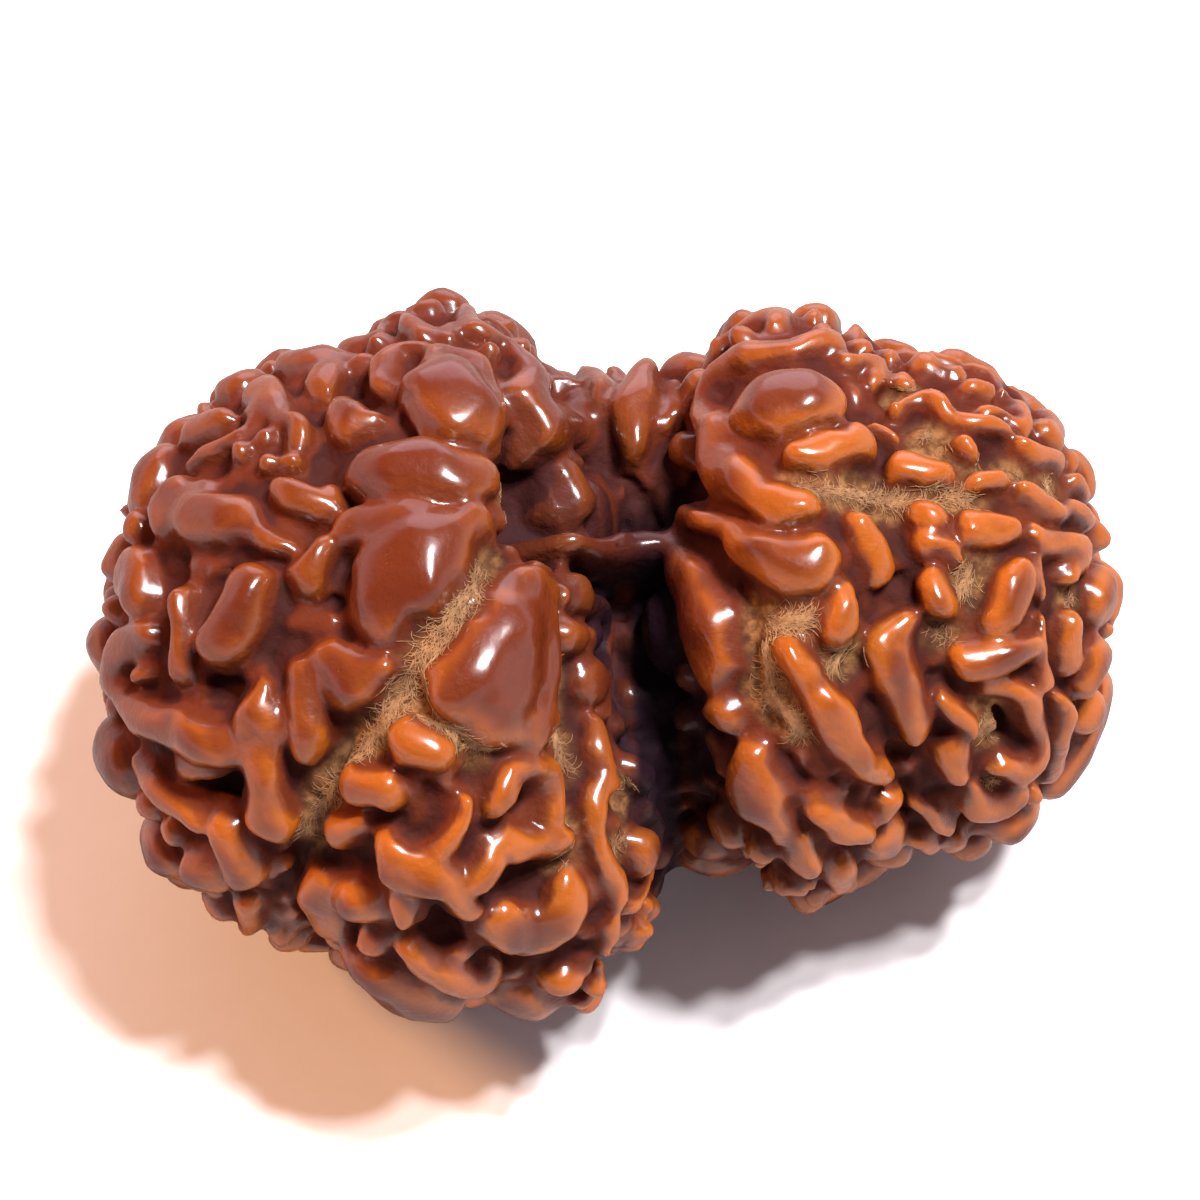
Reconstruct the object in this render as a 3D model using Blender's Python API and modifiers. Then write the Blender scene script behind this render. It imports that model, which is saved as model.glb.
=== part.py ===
"""A double rudraksha seed: two warty stones of the rudraksha tree, grown together side by side as one piece.

Sizes are in millimetres up to the last step, which scales the mesh to metres. +X runs along the seed's width,
+Y away from the viewer and +Z up. The seed rests on flat spots at z = 0.

The warts of the side that shows are drawn on a plan: the seed as it is seen from EYE, where east runs along +X
and north up the far side. A wart is a line of plan points, each with the wart's half width there. The warts of
the far side and the underside follow a rule with a seeded draw.
"""

import math
import random

import bmesh
import bpy
import numpy as np
from mathutils import Matrix, Vector, noise
from mathutils.bvhtree import BVHTree

NODE = "rudraksha_seed"
MM = 0.001
SEED = 108

# The stony core under the warts: the middle and the half sizes of its round bodies.
CORE_BODIES = (
    ((-9.0, 0.1, 10.8), (7.5, 9.6, 9.0)),
    ((-5.8, -0.1, 11.1), (4.9, 11.6, 9.8)),
    ((-1.9, -5.6, 8.7), (2.8, 5.4, 6.0)),
    ((6.3, 2.2, 10.2), (4.4, 9.6, 9.2)),
    ((10.2, 2.3, 9.8), (6.2, 7.8, 8.5)),
    ((0.7, 6.3, 10.2), (4.0, 4.2, 4.9)),
    ((0.9, 0.5, 8.0), (3.8, 6.3, 4.6)),
)
CORE_GRAIN = 0.5
CORE_SOFTENING = 6

# A wart's crest stands RISE_LEAST to RISE_LEAST + RISE_MORE over the core, more for a broad wart.
RISE_LEAST = 0.5
RISE_MORE = 1.25
RISE_WIDTH = 0.7
LOW_SHARE = 0.55
BAND_SHARE = 0.35
CRAMPED_SHARE = 0.6
CRAMPED_ROOM = 3.5
ROOT_DEPTH = 0.5
BRIDGE_ROOT = 5.0
BRIDGE_SAG = 0.8
BELLY = 0.35
FULLNESS = 0.9
SLIMNESS = 1.12
TRACE_LIFT = 0.8

# A low wider foot lies round each wart, and a broad noise bends all sections.
FOOT_REACH = 0.25
FOOT_SHARE = 0.3
KNURL = 0.3
KNURL_SIZE = 1.4
WANDER_OFFSETS = ((0.0, 0.0, 0.0), (17.3, 5.1, 9.7), (31.9, 12.4, 23.8))

FUSE_GRAIN = 0.2
FUSE_SOFTENING = 4
TRIANGLES = 11600
SHIFT = (0.19, -0.15)

# The plan's point of view: its middle lies at the seed's mid depth, and the eye looks down at 60 degrees.
PLAN_MIDDLE = Vector((-0.39, 1.63, 11.54))
EYE_RISE = math.radians(60.0)
EYE_DISTANCE = 160.0
TOWARDS_EYE = Vector((0.0, -math.cos(EYE_RISE), math.sin(EYE_RISE)))
EAST = Vector((1.0, 0.0, 0.0))
NORTH = TOWARDS_EYE.cross(EAST)
EYE = PLAN_MIDDLE + TOWARDS_EYE * EYE_DISTANCE

LEFT_BACK = (
    ((-13.9, 5.75, 0.65), (-12.9, 6.2, 0.5)),
    ((-13.2, 7.05, 0.45), (-12.3, 7.7, 0.5)),
    ((-11.7, 7.2, 0.65), (-11.2, 6.5, 0.55), (-10.4, 6.0, 0.4), (-10.3, 5.5, 0.35)),
    ((-11.9, 6.6, 0.45), (-12.0, 6.0, 0.4), (-12.7, 5.5, 0.4), (-13.6, 5.05, 0.35), (-14.3, 4.7, 0.3)),
    ((-11.5, 5.6, 0.4),),
    ((-12.3, 5.1, 0.4),),
    ((-11.3, 4.9, 0.4),),
    ((-10.5, 4.9, 0.4),),
    ((-11.35, 8.15, 0.45),),
    ((-10.6, 8.1, 0.55), (-9.5, 8.15, 0.85), (-8.5, 8.2, 0.5)),
    ((-9.3, 7.8, 0.7), (-9.5, 7.2, 0.5)),
    ((-7.5, 7.4, 0.5), (-7.45, 8.1, 0.6), (-6.9, 8.55, 0.4), (-6.1, 8.5, 0.35)),
    ((-8.7, 6.6, 0.5), (-8.6, 6.0, 0.9), (-8.0, 6.1, 0.55)),
    ((-7.7, 9.8, 0.3), (-7.3, 10.1, 0.3)),
    ((-7.75, 9.0, 0.3), (-7.4, 9.6, 0.35), (-6.8, 10.0, 0.35), (-6.5, 10.0, 0.3)),
    ((-6.7, 9.6, 0.4), (-6.0, 9.3, 0.5)),
    ((-5.2, 9.6, 0.3), (-5.1, 9.2, 0.3)),
    ((-4.5, 9.9, 0.4), (-4.3, 9.3, 0.45), (-3.8, 9.1, 0.4)),
    ((-3.8, 9.9, 0.3), (-3.3, 9.6, 0.3), (-2.7, 9.2, 0.25)),
    ((-3.3, 8.8, 0.4), (-2.7, 8.2, 0.7), (-2.4, 7.5, 0.8), (-2.5, 6.9, 0.7)),
    ((-1.3, 8.2, 0.3), (-0.6, 7.8, 0.4), (-0.1, 7.3, 0.45), (0.1, 6.7, 0.4)),
    ((-1.9, 8.0, 0.3), (-1.3, 7.5, 0.35), (-0.9, 6.9, 0.4), (-0.4, 6.4, 0.35), (0.0, 6.3, 0.25)),
)
LEFT_TOP = (
    ((-5.2, 7.4, 1.3), (-4.6, 6.6, 1.2)),
    (
        (-6.2, 7.9, 0.35),
        (-5.3, 8.5, 0.4),
        (-4.3, 8.3, 0.45),
        (-3.7, 7.4, 0.45),
        (-3.6, 6.3, 0.5),
        (-3.9, 5.6, 0.45),
    ),
    ((-7.9, 4.3, 0.9), (-6.6, 4.5, 1.2), (-5.2, 4.3, 1.1), (-4.2, 4.2, 0.8)),
    ((-4.6, 2.7, 0.8), (-5.8, 1.9, 1.3), (-7.0, 0.7, 1.6), (-7.6, -0.1, 1.2)),
    ((-8.5, 2.3, 0.7), (-7.3, 2.6, 0.8), (-5.9, 2.8, 0.7)),
    ((-9.3, 4.0, 0.25), (-9.2, 3.2, 0.25)),
    ((-2.0, 6.6, 0.6), (-1.9, 5.9, 0.9), (-0.9, 6.0, 0.7)),
    ((-10.9, 3.9, 0.4), (-10.1, 3.55, 0.6), (-9.6, 3.1, 0.45)),
    ((-9.5, 1.7, 0.5), (-10.1, 0.9, 0.6)),
    ((-2.2, 0.4, 0.8), (-2.8, -0.7, 1.2), (-3.4, -1.9, 1.5), (-3.7, -3.0, 1.5)),
    ((-2.6, 0.5, 0.6), (-3.9, -1.0, 0.65), (-5.2, -2.6, 0.65)),
    ((-5.1, -3.1, 0.7), (-3.7, -4.1, 0.8), (-2.1, -4.3, 0.7)),
    ((-1.8, 0.3, 0.6), (-1.9, -2.0, 0.65), (-1.9, -4.1, 0.65)),
    ((-0.7, 0.35, 0.5), (0.0, -0.3, 0.45), (0.2, -1.5, 0.35), (0.2, -3.0, 0.35), (0.25, -3.8, 0.3)),
)
LEFT_SIDE = (
    ((-14.6, 3.2, 0.95), (-13.6, 2.9, 0.8), (-12.4, 2.75, 0.75), (-11.4, 2.2, 0.45), (-10.7, 1.85, 0.3)),
    ((-13.6, 3.9, 0.5),),
    ((-16.0, 0.9, 0.9), (-15.8, 0.2, 0.8)),
    ((-16.9, 1.3, 0.5), (-16.4, 1.9, 0.4)),
    ((-14.3, 0.1, 0.5), (-14.4, -1.0, 0.45), (-14.5, -2.2, 0.5)),
    ((-12.0, 0.4, 0.85), (-12.4, -0.7, 0.95), (-13.2, -1.5, 0.7)),
    (
        (-15.5, -1.2, 0.5),
        (-16.3, -1.6, 0.65),
        (-16.7, -2.5, 0.55),
        (-16.3, -3.4, 0.55),
        (-15.6, -4.1, 0.65),
        (-14.7, -4.4, 0.7),
        (-13.6, -4.9, 0.7),
        (-12.7, -5.0, 0.6),
    ),
    ((-15.9, -5.6, 0.4), (-15.3, -6.3, 0.6), (-14.5, -7.0, 0.6), (-13.7, -7.7, 0.5)),
    ((-17.4, -2.8, 0.3), (-17.2, -4.0, 0.35), (-16.8, -5.3, 0.35), (-16.4, -6.2, 0.3)),
)
LEFT_FRONT = (
    ((-11.5, -3.0, 0.35), (-11.7, -3.9, 0.75), (-11.8, -5.2, 0.7), (-11.5, -6.5, 0.7), (-11.4, -7.5, 0.9)),
    ((-10.2, -2.3, 0.5), (-10.1, -3.5, 0.55), (-10.0, -4.6, 0.8), (-10.1, -5.4, 0.45)),
    ((-9.3, -1.9, 0.7), (-8.7, -2.7, 1.05), (-7.5, -2.3, 0.45)),
    ((-6.5, -4.9, 0.75), (-5.6, -5.2, 0.65)),
    ((-8.2, -6.3, 0.75), (-7.4, -6.5, 0.7)),
    ((-9.0, -8.1, 0.55), (-8.3, -7.8, 0.4)),
    ((-12.9, -7.9, 0.6), (-12.5, -8.7, 0.75), (-12.2, -9.2, 0.75)),
    ((-12.1, -10.5, 0.5), (-12.0, -11.3, 0.4)),
    ((-13.3, -10.2, 0.3), (-12.9, -11.0, 0.3)),
    ((-9.4, -9.7, 0.7), (-9.4, -10.6, 0.95), (-9.2, -11.1, 0.8)),
    ((-10.4, -12.0, 0.4), (-9.6, -12.4, 0.45), (-8.9, -12.3, 0.4)),
    ((-7.3, -8.6, 0.6), (-6.7, -9.3, 0.95), (-5.6, -9.6, 0.8), (-5.0, -10.1, 0.5), (-4.3, -10.8, 0.4)),
    ((-6.8, -10.4, 0.55), (-6.7, -11.0, 0.4)),
    ((-4.6, -7.0, 0.3), (-4.9, -7.9, 0.35), (-5.4, -8.7, 0.5)),
    ((-3.6, -7.2, 0.35), (-3.3, -6.5, 0.5), (-2.8, -5.9, 0.5), (-2.0, -5.7, 0.6), (-1.6, -6.5, 0.55), (-1.6, -7.3, 0.5)),
    ((-1.3, -8.2, 0.45), (-2.2, -8.4, 0.55), (-3.2, -8.4, 0.5), (-3.9, -9.1, 0.5), (-4.2, -9.7, 0.5)),
    ((-1.2, -9.8, 0.6), (-1.3, -10.6, 0.85), (-2.3, -11.1, 1.1), (-3.3, -11.0, 0.85)),
    ((-6.8, -12.1, 0.4), (-5.9, -12.8, 0.5), (-4.8, -13.1, 0.55), (-3.9, -13.1, 0.5), (-3.6, -12.6, 0.35)),
    ((-1.4, -13.1, 0.65),),
    ((-4.2, -14.0, 0.3), (-3.0, -13.9, 0.45), (-2.0, -14.1, 0.3)),
)
WAIST = (
    ((-0.1, -4.2, 0.4), (0.05, -5.1, 0.42), (0.3, -5.7, 0.35)),
    ((0.25, -6.2, 0.5), (-0.1, -6.9, 0.4), (0.0, -8.0, 0.4), (0.4, -9.0, 0.42), (0.75, -9.7, 0.45), (0.7, -10.3, 0.42)),
    ((0.5, -11.0, 0.4), (0.6, -11.5, 0.35)),
    ((0.3, -12.1, 0.3),),
    ((1.7, -7.0, 0.25), (2.05, -7.8, 0.3), (2.0, -8.8, 0.3), (1.7, -9.6, 0.35), (1.2, -10.4, 0.35)),
    ((2.8, -9.0, 0.25), (2.4, -9.9, 0.3), (1.7, -10.5, 0.3)),
)
RIGHT_TOP = (
    ((1.6, 8.0, 0.5), (1.3, 7.2, 0.65), (1.1, 6.2, 0.65), (1.2, 5.3, 0.5)),
    ((2.7, 7.5, 0.35), (2.4, 6.6, 0.35), (2.2, 6.0, 0.3)),
    ((3.2, 9.3, 0.5), (2.8, 8.8, 0.4), (2.9, 8.2, 0.35)),
    ((3.9, 9.8, 0.35), (4.8, 10.0, 0.6), (5.7, 10.0, 0.6), (6.2, 9.6, 0.4)),
    (
        (7.9, 8.9, 0.5),
        (6.9, 8.8, 0.5),
        (5.7, 8.6, 0.55),
        (4.6, 8.2, 0.6),
        (3.8, 7.4, 0.55),
        (3.5, 6.6, 0.5),
        (3.9, 5.6, 0.75),
        (4.1, 4.7, 0.85),
        (5.0, 3.8, 0.75),
        (6.2, 3.2, 0.65),
        (6.9, 3.3, 0.5),
    ),
    ((5.5, 6.6, 1.1), (6.8, 6.9, 1.2), (7.8, 6.9, 0.7)),
    ((6.7, 5.0, 0.5), (7.6, 5.2, 0.6), (8.8, 5.5, 0.75)),
    ((2.7, 2.9, 0.35), (3.8, 2.6, 0.4), (4.8, 2.0, 0.55), (5.7, 1.5, 0.85), (6.7, 1.2, 0.95), (7.4, 1.3, 0.8)),
    ((2.4, 1.9, 0.55), (2.8, 0.9, 0.8), (3.3, -0.1, 1.1), (3.6, -1.2, 1.15), (3.8, -2.1, 0.95)),
    ((9.0, 2.6, 0.5), (9.3, 1.9, 0.62), (9.6, 1.2, 0.5)),
    ((8.3, 0.3, 0.45), (8.2, -0.6, 0.6), (8.2, -1.1, 0.58)),
    ((10.2, 4.6, 0.55), (11.2, 4.6, 0.58), (11.8, 4.6, 0.4)),
    ((10.9, 3.0, 0.45), (11.5, 2.9, 0.45)),
    ((12.7, 2.5, 0.5), (13.6, 2.4, 0.6), (14.0, 2.5, 0.45)),
    ((11.1, 1.9, 0.5), (11.8, 1.7, 0.5), (12.1, 1.5, 0.35)),
    ((11.3, 0.7, 0.52), (11.7, 0.0, 0.58)),
)
RIGHT_BACK = (
    ((8.8, 9.7, 0.45), (8.7, 9.2, 0.4)),
    ((9.5, 9.3, 0.4),),
    ((7.7, 9.3, 0.4),),
    ((8.5, 8.2, 0.5), (9.4, 8.0, 0.55), (9.4, 7.5, 0.4)),
    ((8.9, 8.9, 0.3), (9.8, 8.8, 0.3), (10.4, 8.5, 0.3)),
    ((10.5, 9.1, 0.35),),
    ((10.7, 8.75, 0.3),),
    ((11.4, 8.9, 0.35),),
    ((11.2, 8.1, 0.6),),
    ((10.5, 6.9, 0.3), (11.1, 7.1, 0.35), (11.7, 6.8, 0.35), (12.2, 6.4, 0.3)),
    ((10.2, 6.7, 0.3),),
    ((9.4, 6.1, 0.25), (10.2, 5.5, 0.25)),
    ((11.7, 8.9, 0.3), (12.2, 8.9, 0.35)),
    ((12.1, 7.9, 0.45),),
    ((12.7, 8.1, 0.3), (13.4, 7.9, 0.35), (13.9, 7.6, 0.3)),
    ((12.8, 8.0, 0.25), (13.5, 7.5, 0.3), (13.9, 7.1, 0.3)),
    ((14.4, 7.3, 0.35), (14.5, 6.6, 0.35), (14.6, 5.9, 0.35)),
    ((12.6, 7.4, 0.4), (13.3, 7.2, 0.4)),
    ((13.3, 6.7, 0.3), (13.9, 6.5, 0.3), (14.3, 6.1, 0.3)),
    ((12.4, 6.3, 0.4), (13.2, 6.1, 0.45), (13.9, 5.8, 0.35)),
    ((12.4, 5.4, 0.4), (12.8, 5.1, 0.32)),
    ((14.4, 5.3, 0.4), (15.2, 5.0, 0.45), (15.8, 4.7, 0.35)),
    ((13.0, 4.1, 0.36), (13.7, 4.2, 0.38)),
    ((11.9, 4.5, 0.3),),
    ((14.5, 3.7, 0.35), (15.3, 3.4, 0.45), (16.2, 3.1, 0.4), (16.9, 2.8, 0.35)),
    ((16.3, 4.2, 0.3), (16.7, 3.7, 0.35)),
)
RIGHT_SIDE = (
    ((14.9, 2.3, 0.38), (15.9, 2.0, 0.48), (16.6, 1.5, 0.48), (16.1, 0.8, 0.42)),
    ((15.0, 1.4, 0.32), (15.2, 0.4, 0.32)),
    ((14.4, 0.8, 0.58), (14.0, -0.1, 0.78), (13.7, -0.5, 0.6)),
    ((17.6, 0.8, 0.6), (17.6, -0.2, 0.6)),
    ((12.7, -2.0, 0.65), (13.8, -1.9, 0.65), (14.7, -1.7, 0.55)),
    ((15.2, -0.6, 0.3), (15.2, -1.7, 0.32), (15.2, -2.8, 0.4)),
    ((16.2, -1.0, 0.52), (16.2, -2.0, 0.58)),
    ((17.5, -2.1, 0.35),),
    ((17.5, -1.0, 0.4),),
    ((15.9, -3.5, 0.38), (15.9, -4.3, 0.5), (15.8, -5.2, 0.45), (15.6, -6.1, 0.42)),
    ((13.4, -3.1, 0.35), (14.3, -3.2, 0.38), (14.9, -4.1, 0.4), (15.0, -5.1, 0.42), (14.5, -5.9, 0.55), (13.7, -5.7, 0.4)),
    ((14.3, -6.5, 0.55), (13.6, -7.2, 0.55), (12.9, -7.1, 0.5), (12.8, -6.5, 0.3)),
)
RIGHT_FRONT = (
    ((4.1, -3.8, 0.7), (4.2, -4.1, 0.65)),
    ((5.0, -5.3, 0.55), (5.15, -6.2, 0.85), (5.6, -7.0, 0.9), (6.1, -7.8, 0.5), (6.3, -8.3, 0.38)),
    ((6.9, -8.3, 0.35), (7.0, -9.1, 0.62)),
    ((8.4, -9.2, 0.5), (8.4, -9.8, 0.48)),
    ((5.2, -8.4, 0.35), (5.8, -8.9, 0.35)),
    ((5.5, -9.2, 0.3),),
    ((5.8, -10.0, 0.35),),
    ((6.3, -9.9, 0.35), (7.0, -10.0, 0.35)),
    ((7.4, -9.8, 0.3),),
    ((6.4, -1.8, 0.45), (7.1, -2.8, 0.6), (7.9, -3.8, 0.65), (8.4, -4.8, 0.62), (9.0, -5.5, 0.55), (9.9, -6.0, 0.42)),
    ((7.4, -7.3, 0.35), (8.5, -7.8, 0.55), (9.2, -8.0, 0.4)),
    ((10.6, -0.7, 0.45), (9.9, -1.8, 0.92), (10.2, -3.0, 0.8), (10.7, -4.2, 0.62), (10.8, -4.6, 0.5)),
    ((11.6, -3.5, 0.32), (12.2, -4.05, 0.42), (12.8, -4.5, 0.42)),
    ((12.1, -5.2, 0.58), (12.2, -6.0, 0.6)),
    ((9.9, -7.0, 0.58), (9.8, -7.3, 0.5)),
    ((10.9, -7.1, 0.3), (11.5, -7.5, 0.35), (11.9, -8.0, 0.32)),
    ((10.7, -8.2, 0.42), (11.4, -8.5, 0.4)),
    ((12.4, -8.3, 0.35), (12.0, -9.1, 0.35)),
)
WARTS = LEFT_BACK + LEFT_TOP + LEFT_SIDE + LEFT_FRONT + WAIST + RIGHT_TOP + RIGHT_BACK + RIGHT_SIDE + RIGHT_FRONT

# Warts that lie low between the others.
LOW_WARTS = (
    ((-10.5, -0.7, 0.3), (-9.3, -0.7, 0.3)),
    ((-14.6, -5.6, 0.6), (-13.4, -5.7, 0.5)),
    ((1.0, -4.1, 0.45),),
    ((1.6, -5.2, 0.45),),
    ((2.8, -5.7, 0.45),),
    ((2.4, -6.6, 0.3), (3.4, -6.3, 0.3)),
    ((3.6, -7.7, 0.3),),
    ((1.0, -7.6, 0.35),),
    ((3.5, -5.0, 0.4), (3.8, -5.9, 0.5)),
    ((7.3, -5.5, 0.5), (7.9, -6.0, 0.45)),
    ((7.4, -6.9, 0.35), (8.4, -7.0, 0.3)),
    ((11.1, -1.5, 0.4), (11.4, -2.2, 0.4)),
)

# Arms that cross the waist from lobe to lobe.
BRIDGES = (((-0.9, 1.9, 0.4), (2.5, 2.35, 0.4)),)

# Grooves with a mat of husk fibre on their floor, drawn in the same way.
BANDS = (
    (
        (-3.6, 1.4, 0.2),
        (-4.4, 0.4, 0.3),
        (-5.0, -0.6, 0.45),
        (-5.8, -1.6, 0.5),
        (-6.5, -2.8, 0.5),
        (-7.3, -3.8, 0.45),
        (-8.0, -4.6, 0.35),
        (-8.7, -5.6, 0.3),
        (-9.5, -6.9, 0.3),
        (-10.0, -8.3, 0.3),
    ),
    ((-6.3, -3.4, 0.3), (-5.6, -4.0, 0.25), (-4.6, -4.7, 0.25), (-4.0, -5.1, 0.2)),
    ((-1.1, -1.9, 0.2), (-1.1, -3.0, 0.25), (-1.1, -4.2, 0.25), (-1.0, -5.6, 0.2)),
    ((6.5, 4.15, 0.2), (8.0, 3.95, 0.3), (9.3, 3.7, 0.35), (10.2, 3.5, 0.3), (11.4, 3.7, 0.3), (12.6, 3.6, 0.35)),
    ((5.2, -0.6, 0.3), (6.2, -0.8, 0.3), (6.9, -0.7, 0.3)),
    ((5.4, -1.2, 0.35), (5.5, -2.4, 0.35), (5.4, -3.4, 0.35), (6.4, -4.0, 0.3), (6.8, -4.6, 0.25)),
    ((8.9, -1.5, 0.2), (8.3, -2.3, 0.25)),
    ((12.9, 1.3, 0.4), (12.5, 0.4, 0.35)),
    ((13.4, -4.0, 0.25), (13.5, -4.8, 0.25)),
)

# Hollows pressed into the core: plan east and north, reach and depth.
HOLLOWS = (
    (-1.7, 3.6, 3.3, 3.4),
    (-6.0, 6.3, 0.8, 0.7),
    (-13.2, -6.8, 1.1, 0.9),
    (-13.2, -3.0, 1.0, 0.6),
    (-5.2, -11.5, 1.1, 0.9),
    (-2.7, -7.2, 0.8, 0.8),
    (14.1, -4.5, 0.9, 0.9),
    (13.5, 5.2, 0.7, 0.5),
    (15.5, 0.9, 0.6, 0.5),
    (2.6, 4.0, 1.6, 1.0),
)

# The faces of the stone meet in grooves that run down to a foot under each lobe: lobe middle, foot, plan starts.
MERIDIANS = (
    ((-6.6, 0.0, 10.9), (-5.5, 0.8, 0.5), ((-10.3, -9.2), (-0.7, -9.2), (-16.9, -0.4), (-9.2, 8.9), (-0.9, 8.7))),
    ((7.9, 2.5, 10.1), (7.0, 2.6, 0.8), ((5.4, -8.9), (12.6, -7.6), (17.1, 2.2), (10.0, 9.5), (2.4, 8.4))),
)
MERIDIAN_GAP = 0.45

# The seed's flat rest: one broad wart under each lobe, as x, y, half width and share of its rise.
RESTS = ((-7.0, 0.3, 2.4, 1.3), (7.9, 2.4, 2.4, 0.85))

# The draw of the hidden warts, broad ones first: half width of a size class, most steps in a line, tries.
DRAW = ((1.3, 2, 1000), (1.0, 4, 3000), (0.78, 5, 5000), (0.6, 5, 6000), (0.46, 3, 7000))
DRAW_GAP = 0.04
HIDDEN_FACING = 0.42


class Seat:
    """A place on the core: the point, the way up, a wart's half width and how far the core is carved there."""

    def __init__(self, point, up, width, sunk):
        self.point = point
        self.up = up
        self.width = width
        self.sunk = sunk

    def blend(self, other, share):
        """The seat part of the way to another one."""
        return Seat(
            self.point.lerp(other.point, share),
            self.up.lerp(other.up, share).normalized(),
            self.width + (other.width - self.width) * share,
            self.sunk + (other.sunk - self.sunk) * share,
        )


class Ground:
    """The core's surface, and the same surface lifted to where the warts' flanks are seen."""

    def __init__(self, mesh):
        self.points = [v.co.copy() for v in mesh.vertices]
        self.ups = [v.normal.copy() for v in mesh.vertices]
        self.faces = [tuple(p.vertices) for p in mesh.polygons]
        self.depths = [0.0] * len(self.points)
        lifted = [p + u * TRACE_LIFT for p, u in zip(self.points, self.ups)]
        self.floor = BVHTree.FromPolygons(self.points, self.faces)
        self.skin = BVHTree.FromPolygons(lifted, self.faces)

    def up(self, face):
        """The way up over a face, taken as the mean of its corners'."""
        return sum((self.ups[i] for i in self.faces[face]), Vector()).normalized()

    def seat(self, point, face, width):
        """The seat at a point of a face."""
        return Seat(point, self.up(face), width, max(self.depths[i] for i in self.faces[face]))

    def seen(self, east, north, width):
        """The seat under a plan point."""
        target = PLAN_MIDDLE + EAST * east + NORTH * north
        hit, _, face, _ = self.skin.ray_cast(EYE, (target - EYE).normalized())
        if hit is None:
            hit, _, face, _ = self.skin.find_nearest(target)
        return self.seat(hit - self.up(face) * TRACE_LIFT, face, width)

    def near(self, point, width):
        """The seat nearest to a point in space."""
        hit, _, face, _ = self.floor.find_nearest(point)
        return self.seat(hit, face, width)

    def hidden(self, seat):
        """Whether the eye can't see a wart at this seat."""
        crest = seat.point + seat.up * 1.2
        towards = (EYE - crest).normalized()
        if seat.up.dot(towards) < HIDDEN_FACING:
            return True
        return self.floor.ray_cast(crest, towards)[0] is not None

    def cramped(self, seat):
        """Whether another flank of the core stands close in front of this seat."""
        return self.floor.ray_cast(seat.point + seat.up * 0.3, seat.up, CRAMPED_ROOM)[0] is not None


def core_mesh():
    """The round bodies fused to one smooth core."""
    mesh = bmesh.new()
    for middle, half in CORE_BODIES:
        place = Matrix.Translation(middle) @ Matrix.Diagonal((*half, 1.0))
        bmesh.ops.create_icosphere(mesh, subdivisions=4, radius=1.0, matrix=place)
    data = bpy.data.meshes.new("core bodies")
    mesh.to_mesh(data)
    mesh.free()
    return fused(data, CORE_GRAIN, CORE_SOFTENING)


def fused(data, grain, softening):
    """One closed skin round overlapping closed bodies."""
    body = bpy.data.objects.new(data.name, data)
    bpy.context.scene.collection.objects.link(body)
    remesh = body.modifiers.new("fuse", "REMESH")
    remesh.mode = "VOXEL"
    remesh.voxel_size = grain
    smooth = body.modifiers.new("soften", "SMOOTH")
    smooth.factor = 0.5
    smooth.iterations = softening
    result = taken(body)
    bpy.data.objects.remove(body)
    return result


def taken(body):
    """A mesh of the body as its modifiers leave it."""
    graph = bpy.context.evaluated_depsgraph_get()
    return bpy.data.meshes.new_from_object(body.evaluated_get(graph), depsgraph=graph)


def spline(points, steps):
    """Points along a smooth line through the given ones."""
    if len(points) == 1:
        return [Vector(points[0])]
    knots = [Vector(p) for p in points]
    knots = [knots[0] * 2 - knots[1], *knots, knots[-1] * 2 - knots[-2]]
    line = []
    for a, b, c, d in zip(knots, knots[1:], knots[2:], knots[3:]):
        for k in range(steps):
            t = k / steps
            line.append(
                ((b * 2) + (c - a) * t + (a * 2 - b * 5 + c * 4 - d) * t**2 + (b * 3 - a - c * 3 + d) * t**3) * 0.5
            )
    line.append(knots[-2])
    return line


def plan_path(ground, points, steps=4):
    """The seats of a line drawn on the plan."""
    return [ground.seen(p.x, p.y, max(p.z, 0.15)) for p in spline(points, steps)]


def bridge_path(ground, start, end):
    """Seats on a sagging arm between two plan points, free of the core on the way."""
    a, b = ground.seen(*start), ground.seen(*end)
    path = [a.blend(b, k / 5) for k in range(6)]
    for k, seat in enumerate(path):
        seat.point -= seat.up * BRIDGE_SAG * math.sin(k / 5 * math.pi)
    return path


def rise(width):
    """How far a wart of this half width stands over the core."""
    return RISE_LEAST + RISE_MORE * (1.0 - math.exp(-width / RISE_WIDTH))


def full(value):
    """A sine or cosine pushed outwards, for a fuller section than an ellipse."""
    return math.copysign(abs(value) ** FULLNESS, value)


def wandering(place):
    """A smooth wandering vector, the same at the same place each time."""
    return Vector(noise.noise(place + Vector(offset)) for offset in WANDER_OFFSETS)


class Pile:
    """Closed bodies gathered into one mesh."""

    def __init__(self):
        self.points = []
        self.faces = []
        self.balls = {}

    def add(self, points, faces):
        """Adds a body's points and faces."""
        first = len(self.points)
        self.points += points
        self.faces += [tuple(first + i for i in face) for face in faces]

    def ball(self, sides, rings):
        """The points and faces of a unit ball, made once for each fineness."""
        if (sides, rings) not in self.balls:
            ball = bmesh.new()
            bmesh.ops.create_uvsphere(ball, u_segments=sides, v_segments=rings, radius=1.0)
            ball.verts.index_update()
            points = [vert.co.copy() for vert in ball.verts]
            faces = [tuple(vert.index for vert in face.verts) for face in ball.faces]
            ball.free()
            self.balls[(sides, rings)] = (points, faces)
        return self.balls[(sides, rings)]

    def mesh(self, name):
        """The gathered bodies as one mesh."""
        data = bpy.data.meshes.new(name)
        data.from_pydata(self.points, [], self.faces)
        return data


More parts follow.
